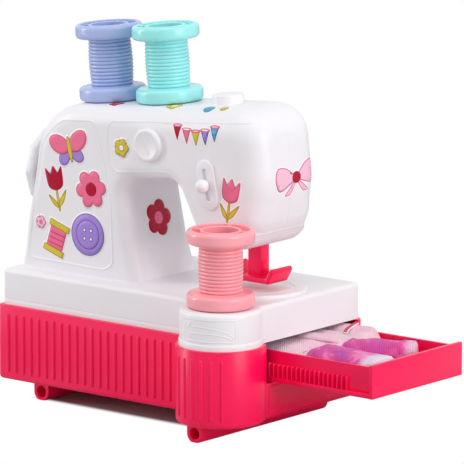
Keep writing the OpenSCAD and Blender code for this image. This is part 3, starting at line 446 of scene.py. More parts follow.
def deck_row(inset, z, tower_lip, front_lip):
    """One level of the deck: a band stands out round the tower, and ends in a groove on the front."""
    flush, tower, front = [plan(inset - lip, DECK_SKIN + 2.7) for lip in (0, tower_lip, front_lip)]
    row = []
    for a, b, c in zip(flush, tower, front):
        on_tower = Vector((a[0] - TOWER.x, a[1] - TOWER.y)).length < TOWER_R - inset + 0.01
        chosen = a if a[1] > OPENING_Y[0] - 1 else b if on_tower else c
        row.append((chosen[0], chosen[1], z))
    return row


bm = bmesh.new()
add_section_walls(bm, [deck_row(*level) for level in deck_levels], capped=True)
finish_mesh("deck_shell", bm, "machine", WHITE, ["deck_cover"])

# %% [markdown]
# ## Body
# The body is one outline, seen from the front, with a rounded corner at each vertex above the deck. The
# outline is drawn in towards the front and back faces along a quarter circle, which rounds the edges. The
# head's end is rounder than the pillar and the arm.

# %% outline of the body
# Each corner: along the arm, above the deck, corner radius, radius of the front and back edge
CORNERS = [
    (0, 0, 0, 1.5),
    (84, 0, 0, 8),
    (77.4, 22, 36, 8.5),
    (70.4, 57, 11, 9),
    (109.6, 57 + 39.2 * math.tan(ARM_TILT), 10, 8),
    (128.4, 26.4, 11, 7),
    (158.5, 26.4, 14, 9.5),
    (167.8, 40, 20, 14),
    (172, 62, 50, 16),
    (166.4, arm_top(166.4), 19, 15.5),
    (PILLAR_LEAN, SHOULDER_H, 34, 10),
    (1, 16, 30, 4.5),
]


def rounded_outline(corners, step=5.0, arc_steps=10):
    """Points of a rounded outline: x, z, outward normal, edge radius and whether it stands on the deck."""
    pieces = []
    count = len(corners)
    for i, (x, z, r, edge) in enumerate(corners):
        here = Vector((x, z))
        if r == 0:
            pieces.append([(x, z, -1.0 if i == 0 else 1.0, 0.0, edge, True)])
            continue
        a = (Vector(corners[i - 1][:2]) - here).normalized()
        b = (Vector(corners[(i + 1) % count][:2]) - here).normalized()
        half = math.acos(max(-1, min(1, a.dot(b)))) / 2
        convex = a.x * b.y - a.y * b.x < 0
        centre = here + (a + b).normalized() * (r / math.sin(half))
        first = here + a * (r / math.tan(half)) - centre
        start = math.atan2(first.y, first.x)
        side = 1 if convex else -1
        sweep = (math.pi - 2 * half) * side
        points = []
        for k in range(arc_steps + 1):
            t = start + sweep * k / arc_steps
            c, s = math.cos(t), math.sin(t)
            points.append((centre.x + r * c, centre.y + r * s, side * c, side * s, edge, False))
        pieces.append(points)
    outline = []
    for i, points in enumerate(pieces):
        outline += points
        a, b = points[-1], pieces[(i + 1) % count][0]
        if a[5] and b[5]:
            continue
        run = math.hypot(b[0] - a[0], b[1] - a[1])
        extra = int(run / step)
        normal = (b if a[5] else a)[2:4]
        for k in range(1, extra + 1):
            t = k / (extra + 1)
            smooth = t * t * (3 - 2 * t)
            outline.append((a[0] + (b[0] - a[0]) * t, a[1] + (b[1] - a[1]) * t, *normal,
                            a[4] + (b[4] - a[4]) * smooth, False))
    return outline


BODY_LINE = rounded_outline(CORNERS)


def body_row(inset_share, depth_share, face, side, extra=0.0):
    """One slice of the body: shares of each point's edge radius, drawn in and back from the face."""
    row = []
    for x, z, nx, nz, edge, grounded in BODY_LINE:
        inset = edge * inset_share + extra
        rise = 0 if grounded else z - inset * nz
        row.append((BODY_X + x - inset * nx, face + side * edge * depth_share, Z_DECK + rise))
    return row


BODY_SMOOTH = 38


def half_body(name, face, side, node):
    """One shell of the body, from its flat face round the edge to the seam."""
    bm = bmesh.new()
    sections = [body_row(1.0, 0, face, side, 1.2)]
    for k in range(11):
        a = math.pi / 2 * k / 10
        sections.append(body_row(1 - math.sin(a), 1 - math.cos(a), face, side))
    seam = BODY_Y - side * 0.06
    sections.append([(x, seam, z) for x, _, z in body_row(0, 0, face, side)])
    sections.append([(x, BODY_Y, z) for x, _, z in body_row(0, 0, face, side, 0.05)])
    add_section_walls(bm, sections, capped=True)
    bm.normal_update()
    surface = BVHTree.FromBMesh(bm)
    finish_mesh(name, bm, "machine", WHITE, [node], smooth=BODY_SMOOTH)
    return surface


FRONT_SURFACE = half_body("body_front", FACE_Y, 1, "body_front_shell")
REAR_SURFACE = half_body("body_rear", REAR_Y, -1, "body_rear_shell")
print("body outline has", len(BODY_LINE), "points")

# %% screw sockets in the rear shell
SOCKETS = [(20, 22), (62, 16), (36, SHOULDER_H - 14.5), (110, SHOULDER_H - 8.5), (156, SHOULDER_H - 4.5)]
SOCKET_R, SOCKET_DEPTH = 2.9, 23.5
bm = bmesh.new()
# Each cutter starts 1 mm outside the rear face
for at, up in SOCKETS:
    middle = Matrix.Translation((BODY_X + at, REAR_Y + 1 - (SOCKET_DEPTH + 1) / 2, Z_DECK + up))
    bmesh.ops.create_cone(bm, cap_ends=True, segments=32, radius1=SOCKET_R, radius2=SOCKET_R,
                          depth=SOCKET_DEPTH + 1, matrix=middle @ turn(90, "X"))
bm.transform(Matrix.Scale(MM, 4))
cutter = to_object("socket_cutter", bm)
rear = bpy.data.objects["body_rear"]
cut = rear.modifiers.new("sockets", "BOOLEAN")
cut.operation, cut.solver, cut.object = "DIFFERENCE", "EXACT", cutter
bpy.context.view_layer.update()
bm = bmesh.new()
bm.from_object(rear, bpy.context.evaluated_depsgraph_get())
smooth_edges(bm, BODY_SMOOTH)
rear.modifiers.remove(cut)
bm.to_mesh(rear.data)
bm.free()
bpy.data.objects.remove(cutter)

# %% [markdown]
# ## Reels
# The three reels are one spun profile: two thick flanges with rounded rims, a barrel with moulded rings and
# an open bore. The upper flange is hollowed round the hub, with four spokes across the hollow.

# %% reel
REEL_R, REEL_H, FLANGE_T, BORE_R, BARREL_R = 18.75, 43.0, 8.0, 9.9, 12.3
HOLLOW_R, HUB_R, HOLLOW_D = 15.7, 11.6, 3.2
RINGS, RING_STEPS = 13, 8
REEL_GAP = 0.3


def reel_profile():
    """The reel's section, from the bore's foot round the outside to the bore's mouth and back down it."""
    rim = 2.3
    points = [(BORE_R, 0.4), (BORE_R + 0.4, 0), (REEL_R - rim, 0)]
    points += arc(REEL_R - rim, rim, rim, -90, 0)
    points += arc(REEL_R - rim, FLANGE_T - rim, rim, 0, 90)
    points += [(BARREL_R + 0.9, FLANGE_T), (BARREL_R + 0.2, FLANGE_T + 0.3)]
    drum = REEL_H - 2 * FLANGE_T - 0.6
    for ring in range(RINGS):
        for k in range(RING_STEPS):
            t = (ring + k / RING_STEPS) / RINGS
            bulge = math.sqrt(max(0, 1 - (2 * k / RING_STEPS - 1) ** 2))
            r = BARREL_R - 1.45 + 0.65 * math.sin(math.pi * t) + 0.95 * bulge
            points.append((r, FLANGE_T + 0.3 + drum * t))
    top = REEL_H - FLANGE_T
    points += [(BARREL_R + 0.2, top - 0.3), (BARREL_R + 0.9, top)]
    points += arc(REEL_R - rim, top + rim, rim, -90, 0)
    points += arc(REEL_R - rim, REEL_H - rim, rim, 0, 90)
    hollow = [(HOLLOW_R + 0.6, 0), (HOLLOW_R + 0.1, 0.5), (HOLLOW_R, HOLLOW_D), (HUB_R, HOLLOW_D),
              (HUB_R - 0.2, 0.9), (HUB_R - 0.6, 0.5), (BORE_R + 0.4, 0.5), (BORE_R, 0.9)]
    return points + [(r, REEL_H - down) for r, down in hollow] + [(BORE_R, 0.4)]


def make_reel(name, place, body, material, node):
    """A reel with four spokes in its hollow."""
    bm = bmesh.new()
    add_lathe(bm, reel_profile(), place)
    for k in range(4):
        spoke_place = place @ turn(20 + 90 * k, "Z")
        spoke = add_box(bm, (HUB_R - 0.6, -1.0, REEL_H - 3.4), (HOLLOW_R + 0.5, 1.0, REEL_H - 0.7), 0)
        bmesh.ops.transform(bm, matrix=spoke_place, verts=spoke)
    finish_mesh(name, bm, body, material, [node])


def arm_seat(at, gap=0.0):
    """A place on the sloping arm's top, at a distance from the pillar foot."""
    seat = Vector((BODY_X + at, BODY_Y, Z_DECK + arm_top(at)))
    return Matrix.Translation(seat) @ Matrix.Rotation(-ARM_TILT, 4, "Y") @ Matrix.Translation((0, 0, gap))


make_reel("lavender_reel", arm_seat(43.8, REEL_GAP), "lavender", LAVENDER, "reel_lavender")
make_reel("turquoise_reel", arm_seat(85.0, REEL_GAP), "turquoise", TURQUOISE, "reel_turquoise")
tower_seat = Matrix.Translation((TOWER.x, TOWER.y, Z_DECK + REEL_GAP))
make_reel("pink_reel", tower_seat, "drive", SOFT_PINK, "drive_reel")

# %% [markdown]
# ## Controls
# The button, dial, take-up knob and handwheel are the white parts a child's hand moves.

# %% press button
bm = bmesh.new()
BUTTON_AT, BUTTON_R, BUTTON_H, BUTTON_EDGE = 126.7, 8.9, 5.4, 0.9
rim = arc(BUTTON_R - BUTTON_EDGE, BUTTON_H - BUTTON_EDGE, BUTTON_EDGE, 0, 90, 4)
add_lathe(bm, [(0, -5), (BUTTON_R, -5)] + rim + [(0, BUTTON_H)], arm_seat(BUTTON_AT), steps=72)
finish_mesh("top_button", bm, "presser", WHITE, ["press_button"])

# %% dial
DIAL = Vector((BODY_X + 92.4, FACE_Y, Z_DECK + 78.9))
DIAL_R, DIAL_EDGE = 9.4, 1.6
facing_front = Matrix.Translation(DIAL) @ turn(90, "X")
bm = bmesh.new()
side = [(0, -1), (DIAL_R - 0.4, -1), (DIAL_R, 0.3), (DIAL_R, 1.1)]
rim = arc(DIAL_R - DIAL_EDGE, 1.1, DIAL_EDGE, 0, 80, 5)
add_lathe(bm, side + rim + [(7.2, 2.6), (6.9, 2.45), (0, 2.45)], facing_front, steps=72)
pointer = add_box(bm, (-0.4, -5.0, 2.3), (0.4, 5.0, 2.6), 0)
bmesh.ops.transform(bm, matrix=facing_front @ turn(20, "Z"), verts=pointer)
finish_mesh("dial", bm, "dial", WHITE, ["stitch_dial"])

# %% take-up guide and knob
TAKE_UP = Matrix.Translation((BODY_X + 134.4, FACE_Y, Z_DECK + 61.5))
upright = TAKE_UP @ turn(-12, "Y") @ turn(90, "X")
GUIDE_H, KNOB_R = 1.2, 3.8


def stadium(radius, length, steps=12):
    """An upright outline with round ends."""
    run = length / 2 - radius
    return arc(0, run, radius, 0, 180, steps) + arc(0, -run, radius, 180, 360, steps)


bm = bmesh.new()
outer, inner = stadium(6.0, 28.0), stadium(1.7, 18.0)
levels = [(outer, -0.4), (outer, 0.7), (stadium(5.75, 27.5), 1.05), (stadium(5.3, 26.6), GUIDE_H),
          (stadium(2.1, 18.8), GUIDE_H), (inner, 0.9), (inner, -0.4)]
add_section_walls(bm, [[upright @ Vector((x, y, z)) for x, y in line] for line, z in levels])
finish_mesh("take_up_plate", bm, "machine", WHITE, ["take_up_guide"])
bm = bmesh.new()
knob = upright @ Matrix.Translation((0, 0, GUIDE_H + 0.3 + 3.3))
add_lathe(bm, [(0, -7.5), (1.5, -7.5), (1.5, -3.4)] + arc(0, 0, KNOB_R, -62, 90, 16), knob, steps=48)
finish_mesh("take_up_ball", bm, "take_up", WHITE, ["take_up_knob"])

# %% handwheel
WHEEL_T, WHEEL_R = 4.6, 23.4
wheel_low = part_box("handwheel")[0]
WHEEL = Vector((wheel_low.x / MM, BODY_Y, Z_DECK + 52.3))
along_x = Matrix.Translation(WHEEL) @ turn(90, "Y")
bm = bmesh.new()
add_prism(bm, arc(0, 0, WHEEL_R, 90, 414, 9), along_x, WHEEL_T, 1.1, 3)
finish_mesh("hand_wheel", bm, "wheel", WHITE, ["handwheel"], smooth=25)
bm = bmesh.new()
add_lathe(bm, [(16.5, 0.2), (16.5, 0), (15.6, -0.3), (8.4, -0.3), (7.6, 0), (7.6, 0.2)], along_x, steps=60)
finish_mesh("wheel_ring", bm, "wheel", WHITE)

# %% [markdown]
# ## Presser
# The pink presser bar comes out under the head and carries a boat-shaped foot whose ends turn up.

# %% presser bar and foot
bm = bmesh.new()
SOLE_Z, SOLE_T, SOLE_W = Z_DECK + 6.2, 3.2, 17.5
HALF_BAR = Vector((4.8, 3.9))
bar_low = (PRESSER_X - HALF_BAR.x, BODY_Y - HALF_BAR.y, SOLE_Z + SOLE_T - 1.5)
add_box(bm, bar_low, (PRESSER_X + HALF_BAR.x, BODY_Y + HALF_BAR.y, Z_DECK + 48.7), 1.1, 4)
finish_mesh("bar", bm, "presser", PINK, ["presser_bar"])
bm = bmesh.new()
CURL, CURL_LEN, HALF_SOLE, HALF_T = 61, 6.2, 12.5, SOLE_T / 2
lower = arc(HALF_SOLE, HALF_T, HALF_T, -90, CURL - 90)
along = Vector((math.cos(math.radians(CURL)), math.sin(math.radians(CURL))))
across = Vector((-along.y, along.x))
bend = Vector((HALF_SOLE, HALF_T))
tip_arc = arc(*(bend + along * CURL_LEN), HALF_T, CURL - 90, CURL + 90)
inner_corner = [(HALF_SOLE - 1.2, SOLE_T), (HALF_SOLE - 2.6, SOLE_T)]
curl_root = tuple(bend + across * HALF_T + along * 1.4)
right_side = lower + tip_arc + [curl_root] + inner_corner
profile = right_side + [(-x, z) for x, z in reversed(right_side)]
side_on = Matrix.Translation((PRESSER_X, BODY_Y + SOLE_W / 2, SOLE_Z)) @ turn(90, "X")
add_prism(bm, profile, side_on, SOLE_W, 0.75, 3)
finish_mesh("foot", bm, "presser", PINK, ["presser_foot"])

# %% return spring
SPRING_WIRE, SPRING_TURNS, COIL_STEPS, PRESS_TRAVEL = 0.5, 4, 32, 3.5
spring_low, spring_high = [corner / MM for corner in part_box("presser_spring")]
spring_h = spring_high.z - spring_low.z
coil_r = (spring_high.x - spring_low.x) / 2 - SPRING_WIRE
wire = arc(0, 0, SPRING_WIRE, 0, 324, 9)
bm = bmesh.new()
sections = []
for i in range(SPRING_TURNS * COIL_STEPS + 1):
    a = 2 * math.pi * i / COIL_STEPS
    outward = Vector((math.cos(a), math.sin(a), 0))
    climb = SPRING_WIRE + (spring_h - 2 * SPRING_WIRE) * i / (SPRING_TURNS * COIL_STEPS)
    spot = Vector((PRESSER_X, BODY_Y, spring_low.z + climb)) + outward * coil_r
    sections.append([spot + outward * px + Vector((0, 0, pz)) for px, pz in wire])
add_section_walls(bm, sections, capped=True)
spring = finish_mesh("press_spring", bm, "machine", STEEL, ["presser_spring"])
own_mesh(spring)

# %% [markdown]
# ## Drawer
# The drawer is a shallow tray behind a taller face. A ledge along its near side carries the rack, whose teeth
# stand upright and mesh with the pinion inside the tower.

# %% drawer
DRAWER_RIM = Z_DRAWER_TOP - 1.6
WALL, DRAWER_FLOOR = 1.8, 1.6
bm = bmesh.new()
inner_x = DRAWER_FACE - FACE_T
add_box(bm, (inner_x, DRAWER_Y0, Z_DRAWER), (DRAWER_FACE, DRAWER_Y1, Z_DRAWER_TOP), 0.45, 3)
y0, y1, front = RACK_ROOT_Y, DRAWER_WALL_Y1, inner_x + 0.3
# Floor, near wall, far wall, back wall and ledge: near side, far side, front end, top, bevel and its steps
for near, far, end, top, bevel, steps in (
        (y0, y1, front, Z_DRAWER + DRAWER_FLOOR, 0.3, 2),
        (y0, y0 + WALL, front, DRAWER_RIM, 0.35, 3),
        (y1 - WALL, y1, front, DRAWER_RIM, 0.35, 3),
        (y0, y1, DRAWER_BACK + WALL, DRAWER_RIM, 0.35, 3),
        (RACK_TIP_Y - 0.1, y0 + 0.4, front, Z_DRAWER + 2.6, 0.3, 2)):
    add_box(bm, (DRAWER_BACK, near, Z_DRAWER), (end, far, top), bevel, steps)
finish_mesh("drawer_tray", bm, "tray_drawer", PINK, ["drawer"])

# %% rack
# Module 1, with flanks of 20 degrees
PITCH = math.pi
bm = bmesh.new()
teeth = int((DRAWER_FACE - 15.5 - (TOWER.x - 9)) / PITCH)
flank = math.tan(math.radians(20))
half_tooth = PITCH / 4 - 0.075
half_root, half_tip = half_tooth + 1.25 * flank, half_tooth - flank
for k in range(teeth):
    x = TOWER.x + (k - 2) * PITCH
    tooth = [(x - half_root, RACK_ROOT_Y + 0.2), (x - half_tip, RACK_TIP_Y), (x + half_tip, RACK_TIP_Y),
             (x + half_root, RACK_ROOT_Y + 0.2)]
    add_prism(bm, tooth, Matrix.Translation((0, 0, Z_DRAWER + 2.4)), 7.8, 0.18)
finish_mesh("rack_teeth", bm, "tray_drawer", PINK, ["drawer_rack"])

# %% [markdown]
# ## Garment
# A doll's garment lies in the drawer: a ribbed knit body, a second layer folded over it with a strap, and two
# tie-dyed legs. A leg is a tube with a flat underside and a gathered end. Noise gives the creases, and each
# piece carries its own UV in metres for the ribs of the knit.

# %% knit materials
# The dye's patches are about 13 mm across, the yarn's fibres about 0.5 mm, and the ribs 0.22 mm high
PATCH_SCALE, YARN_SCALE, KNIT_H = 78.0, 1900.0, 0.22 * MM


def knit(name, tones, pale=None, rib=1.05):
    """Ribbed knit: soft patches, UV ribs with painted shade in the grooves, a paler hem where the UV passes a
    length.
    """
    material, tree, shader, place = start_material(name)
    own = put(tree, "UVMap", {"uv_map": "cloth"})
    along = put(tree, "SeparateXYZ", Vector=own.outputs["UV"]).outputs["Y"]
    patches = pattern(tree, place, PATCH_SCALE, 3.0, Roughness=0.62, Distortion=0.7)
    dye = put(tree, "ValToRGB", Fac=patches)
    while len(dye.color_ramp.elements) < len(tones):
        dye.color_ramp.elements.new(0.5)
    for stop, (at, colour) in zip(dye.color_ramp.elements, tones):
        stop.position = at
        stop.color = linear(colour)
    turns = reckon(tree, "MULTIPLY", along, 2 * math.pi / (rib * MM))
    wave = reckon(tree, "SINE", turns)
    yarn = pattern(tree, place, YARN_SCALE, 2.0)
    height = reckon(tree, "MULTIPLY_ADD", wave, 0.5, yarn)
    # Painted shade: the colour is darkened in the grooves between the ribs
    shade = put(tree, "MapRange", Value=wave, From_Min=-1.0, From_Max=1.0, To_Min=0.87, To_Max=1.0)
    colour = dye.outputs["Color"]
    if pale:
        hem, start, end = pale
        fade = put(tree, "MapRange", Value=along, From_Min=start * MM, From_Max=end * MM)
        mix = put(tree, "Mix", {"data_type": "RGBA"}, Factor=fade.outputs["Result"], A=colour, B=hem)
        colour = mix.outputs["Result"]
    groove_shaded = put(tree, "Mix", {"data_type": "RGBA", "blend_type": "MULTIPLY"},
                 Factor=1.0, A=colour, B=shade.outputs["Result"])
    lift = put(tree, "Bump", Strength=0.8, Distance=KNIT_H, Height=height)
    fill(tree, shader, {"Base Color": groove_shaded.outputs["Result"], "Normal": lift.outputs["Normal"],
                        "Roughness": 0.85, "Sheen Weight": 0.25, "Sheen Roughness": 0.4})
    return material


PINK_TONES = [(0.3, "#FFC4DA"), (0.5, "#FFD5E5"), (0.7, "#FFE2EE")]
DYE_TONES = [(0.30, "#9A45B5"), (0.40, "#C94FB0"), (0.50, "#E0489C"), (0.60, "#F26FBA"), (0.74, "#FFA6D8")]
KNIT = knit("pink_rib_knit", PINK_TONES)
SMOOTH_KNIT = knit("pink_fine_knit", PINK_TONES, None, 0.7)
RIBBON = knit("crimson_ribbon", [(0.3, "#E2154C"), (0.6, "#EE3560")], None, 0.6)
PIPING = knit("white_piping", [(0.3, "#FBEFF4"), (0.6, "#FFFFFF")], None, 0.6)

# %% cloth tubes
# Shares of a length: where a leg is as wide as it gets, and where pleats begin or a fold turns down
LEG_ROOT, CUFF = 0.22, 0.86
CLOTH_T = 0.7


def power(value, exponent):
    """A power that keeps the sign."""
    return math.copysign(abs(value) ** exponent, value)


def crease(s, a, seed, size):
    """Unevenness of cloth at a length and an angle round a tube, from about -1 to 1."""
    ring = Vector((s / size, 1.6 * math.cos(a), 1.6 * math.sin(a)))
    fine = Vector((s / (0.45 * size), 2.6 * math.cos(a + 0.1 * s), 2.6 * math.sin(a + 0.1 * s)))
    return noise.noise(ring + Vector((seed, seed, 0))) + 0.5 * noise.noise(fine + Vector((0, seed, seed)))


def finish_cloth(name, bm, rows, spacing, material, node, closed=True, ribs=None):
    """Gives a grid of cloth its UV in metres, its thickness and its place; ribs may cross a direction."""
    bmesh.ops.recalc_face_normals(bm, faces=bm.faces)
    layer = bm.loops.layers.uv.new("cloth")
    across = len(rows[0]) if closed else len(rows[0]) - 1
    bm.faces.ensure_lookup_table()
    for index, face in enumerate(bm.faces):
        i, j = divmod(index, across)
        if i < len(rows) - 1:
            for loop, (di, dj) in zip(face.loops, ((0, 0), (0, 1), (1, 1), (1, 0))):
                u, v = (j + dj) * spacing[0] * MM, (i + di) * spacing[1] * MM
                loop[layer].uv = (u, loop.vert.co.dot(ribs) * MM if ribs else v)
    obj = finish_mesh(name, bm, "tray_drawer", material, [node] if node else (), smooth=80, weld=False)
    thick = obj.modifiers.new("thickness", "SOLIDIFY")
    thick.thickness = CLOTH_T * MM
    thick.offset = -1.0
    return obj


CLOTH_Z = Z_DRAWER + DRAWER_FLOOR + 0.35
PLEATS = 26


def make_leg(name, start, heading, size, slant, node, seed, pleats, hem):
    """A soft leg: narrow where it leaves the body, flat below, creased, with a gathered, slanting end."""
    bm = bmesh.new()
    length, width, height = size
    steps, round_steps = 84, 72
    spin = Matrix.Translation((start[0], start[1], CLOTH_Z)) @ turn(heading, "Z")
    sections = []
    for i in range(steps + 1):
        t = i / steps
        full = min(1.0, t / LEG_ROOT)
        full = full * full * (3 - 2 * full)
        wide = width * (0.9 + 0.1 * math.sin(math.pi * t)) * (0.8 + 0.2 * full)
        tall = height * (0.8 + 0.2 * full) * (1 - 0.08 * t)
        row = []
        for j in range(round_steps):
            a = 2 * math.pi * j / round_steps
            c, s = math.cos(a), math.sin(a)
            run = t * (length - slant * (0.5 - 0.5 * c) * t)
            sunk = -0.45 + 0.7 * crease(run, a, seed, 9.0) * (0.35 + 0.65 * (0.5 + 0.5 * s))
            sunk -= 0.7 * math.exp(-run / 9) * (1 + math.sin(run * 1.15 + 2.2 * c)) * max(s, 0)
            sunk += pleats * math.sin(PLEATS * a) * max(0, (t - CUFF) / (1 - CUFF))
            y = (wide / 2 + sunk) * power(c, 0.8)
            z = tall / 2 + (tall / 2 + (sunk if s > 0 else 0)) * power(s, 0.85 if s > 0 else 0.55)
            row.append(spin @ Vector((run, y, max(z, 0.0))))
        sections.append(row)
    middle = sum(sections[-1], Vector()) / round_steps
    inward = spin.to_3x3() @ Vector((-1, 0, 0))
    for share, depth in ((0.96, -0.5), (0.88, -1.0), (0.74, -1.3), (0.55, -1.2), (0.3, -0.8)):
        sections.append([middle + (p - middle) * share + inward * depth for p in sections[steps]])
    rows = add_section_walls(bm, sections, capped=True)
    girth = 2 * (width + height) * 0.86
    look = knit("tie_dye_" + name, DYE_TONES, (hem[0], length - hem[1], length - hem[2]))
    finish_cloth(name, bm, rows, (girth / round_steps, length / steps), look, node)


CLOTH_NEAR_Y = RACK_ROOT_Y + WALL + 1.2
LEG_HALF = 10
LEG_NEAR_Y = CLOTH_NEAR_Y + LEG_HALF
LEG_TURN = math.radians(40)
CLOTH_X = inner_x - 0.45 * DRAWER_LEN - 3
near_start = (CLOTH_X - 4, LEG_NEAR_Y + 2)
far_start = (CLOTH_X + 1.2 + LEG_HALF * math.sin(LEG_TURN) - 6.5,
             LEG_NEAR_Y + 11.2 + LEG_HALF * math.cos(LEG_TURN) + 0.2)
make_leg("leg_near", near_start, -1, (54.0, 24.0, 20.0), 5.0, "garment_leg_near", 3.1, 0.4,
         ("#F1E2F4", 10.0, 5.0))
make_leg("leg_far", far_start, 38, (44.0, 19.0, 19.6), 1.5, "garment_leg_far", 7.7, 0.35,
         ("#F2C4E2", 6.0, 2.5))

# %% knit body
RIB_WAY = Vector((0.775, 0.632, 0))
bm = bmesh.new()
body_steps, body_round = 64, 120
BODY_MID, BODY_HALF, BODY_RUN, BODY_GIRTH = CLOTH_NEAR_Y + 28.5, 28.3, 45.5, 144.0
sections = []
for i in range(body_steps + 1):
    t = i / body_steps
    end_in = 1 - 0.12 * max(0, 1 - t / 0.12) ** 2
    row = []
    for j in range(body_round):
        a = 2 * math.pi * j / body_round
        c, s = math.cos(a), math.sin(a)
        x = CLOTH_X - 39 + BODY_RUN * t - 3.0 * t * max(s, 0) * (1 + c) / 2
        y = BODY_MID + BODY_HALF * end_in * power(c, 0.5)
        dip = 0.6 * crease(x, a, 5.5, 16.0) - 0.7
        rise = 1.8 * min(1, max(0, (y - BODY_MID + 24) / 30))
        z = 8 * end_in + (7.4 * end_in + (rise + dip if s > 0 else 0)) * power(s, 0.6)
        row.append((x, y, CLOTH_Z + max(z, 0.0)))
    sections.append(row)
rows = add_section_walls(bm, sections, capped=True)
knit_body = finish_cloth("knit_body", bm, rows, (BODY_GIRTH / body_round, BODY_RUN / body_steps), KNIT,
                         "garment_body", ribs=RIB_WAY)

# %% folded layer and strap


def path_length(path):
    """Length of a path of points."""
    return sum((b - a).length for a, b in zip(path, path[1:]))


bm = bmesh.new()
sections = []
fold_line = [(8.6, 49.0), (3.1, 49.3), (0, 50.2), (0.4, 51.6), (3.6, 52.2), (14.6, 52.0), (25.6, 51.4),
             (33.6, 52.4), (37.2, 52.6), (39.2, 50.5), (39.8, 46)]
across_path = smooth_path(fold_line)
fold_steps = 56
FOLD_RUN, FOLD_TOP = 42.0, 52.95
for i in range(fold_steps + 1):
    t = i / fold_steps
    row = []
    for k, p in enumerate(across_path):
        share = k / (len(across_path) - 1)
        x = CLOTH_X - 36 + FOLD_RUN * t + 1.6 * math.sin(5 * share) - 5 * max(0, share - 0.55) * t
        valley = math.exp(-((p.x - 11.6 - 7 * t) / 3.2) ** 2)
        valley += 0.8 * math.exp(-((p.x - 27.6 + 6 * t) / 2.6) ** 2)
        turned_down = 5.5 * max(0, (t - CUFF) / (1 - CUFF)) ** 2
        bumps = 0.45 * noise.noise(Vector((x / 8, p.x / 8, 2.2))) - 0.4
        z = min(p.y + bumps - 1.7 * valley - turned_down, FOLD_TOP)
        row.append((x, BODY_MID + p.x + 0.8 * noise.noise(Vector((x / 9, 0.3, 4.0))), z))
    sections.append(row)
rows = add_section_walls(bm, sections, closed=False)
length_across = path_length(across_path)
spacing = (length_across / (len(across_path) - 1), FOLD_RUN / fold_steps)
knit_fold = finish_cloth("knit_fold", bm, rows, spacing, SMOOTH_KNIT, None, closed=False, ribs=RIB_WAY)
strap_line = [(-8.1, 20.1), (-10.7, 25.1), (-12.7, 31.1), (-14.5, 36.6), (-15.5, 40.0)]
strap_path = smooth_path([(CLOTH_X + a, BODY_MID + b) for a, b in strap_line])
for name, half, lift, look in (("strap_piping", 1.6, 0.0, PIPING), ("strap", 1.05, 0.35, RIBBON)):
    bm = bmesh.new()
    sections = []
    for k, p in enumerate(strap_path):
        share = k / (len(strap_path) - 1)
        before = strap_path[max(k - 1, 0)]
        ahead = (strap_path[min(k + 1, len(strap_path) - 1)] - before).normalized()
        side = Vector((-ahead.y, ahead.x))
        z = 51.6 + 1.2 * math.sin(min(1, 1.4 * share) * math.pi / 2) + lift
        sections.append([(p.x + side.x * w * half, p.y + side.y * w * half, z - 0.5 * abs(w) ** 3)
                         for w in (-1, -0.6, -0.2, 0.2, 0.6, 1)])
    rows = add_section_walls(bm, sections, closed=False)
    spacing = (2 * half / 5, path_length(strap_path) / (len(strap_path) - 1))
    finish_cloth(name, bm, rows, spacing, look, None, closed=False)
print("garment is in the drawer")

# %% [markdown]
# ## Foot rails
# Two tubes run under the base from front to back. Their open ends show below the front edge.

# %% foot rails
FOOT_R, FOOT_BORE, FOOT_AXIS = 5.4, 3.2, 4.9


def foot_rail(name, x, y0, node):
    """A rail with straight sides, a round belly with a flat to stand on, and a round bore."""
    y1 = Y_BACK - 8
    steps = 24
    outer = [(px, max(pz, 0.0)) for px, pz in arc(0, FOOT_AXIS, FOOT_R, 180, 360, steps - 1)]
    outer += [(FOOT_R - 2 * FOOT_R * k / (steps - 1), Z_TRAY) for k in range(steps)]
    hole = arc(0, FOOT_AXIS, FOOT_BORE, 180, 540, 2 * steps)[:-1]
    lip = [(px * 0.94, max(FOOT_AXIS + (pz - FOOT_AXIS) * 0.94, 0.25)) for px, pz in outer]
    flare = [(px * 1.12, FOOT_AXIS + (pz - FOOT_AXIS) * 1.12) for px, pz in hole]
    bm = bmesh.new()
    lines = ((hole, y1 - 0.4), (flare, y1), (lip, y1), (outer, y1 - 0.4), (outer, y0 + 0.4), (lip, y0),
             (flare, y0), (hole, y0 + 0.4), (hole, y1 - 0.4))
    add_section_walls(bm, [[(x + px, y, pz) for px, pz in line] for line, y in lines])
    finish_mesh(name, bm, "machine", PINK, [node])


foot_rail("rail_left", X_LEFT + 26, Y_FRONT + 7, "foot_rail_left")
foot_rail("rail_right", X_END - 25, TOWER.y - TOWER_R + 8, "foot_rail_right")

# %% [markdown]
# ## Moulded lines
# Shallow panels on the body's front show as thin steps. Each step is a strip laid along a path on the body:
# rays from outside find the surface, so a strip follows the rounded edges too.

# %% finding the surface


def body_hit(origin, direction):
    """Where a ray from outside first meets the body: the place and its normal."""
    best = None
    for surface in (FRONT_SURFACE, REAR_SURFACE):
        place, normal, _, far = surface.ray_cast(Vector(origin), Vector(direction))
        if place is not None and (best is None or far < best[2]):
            best = (place, normal, far)
    if best is None:
        raise ValueError("no body under " + str(origin))
    normal = best[1] if best[1].dot(Vector(direction)) < 0 else -best[1]
    return best[0], normal


def on_front(at, up):
    """A place on the body's front: along the arm and above the deck."""
    return body_hit((BODY_X + at, FACE_Y - 100, Z_DECK + up), (0, 1, 0))


def add_strip(bm, path, section, closed=False):
    """Runs a section of (across, lift) points along a path of (place, normal) pairs."""
    rows = []
    count = len(path)
    for i, (place, normal) in enumerate(path):
        before = path[i - 1][0] if closed or i else place
        after = path[(i + 1) % count][0] if closed or i < count - 1 else place
        across = normal.cross(after - before).normalized()
        rows.append([place + across * a + normal * b for a, b in section])
    if closed:
        rows.append(rows[0])
    add_section_walls(bm, rows, closed=False)


STEP = [(-0.3, -0.1), (-0.25, 0.16), (-0.05, 0.34), (0.3, 0.34), (1.1, -0.05)]
BEAD = [(-0.5, -0.08), (-0.3, 0.1), (0, 0.18), (0.3, 0.1), (0.5, -0.08)]

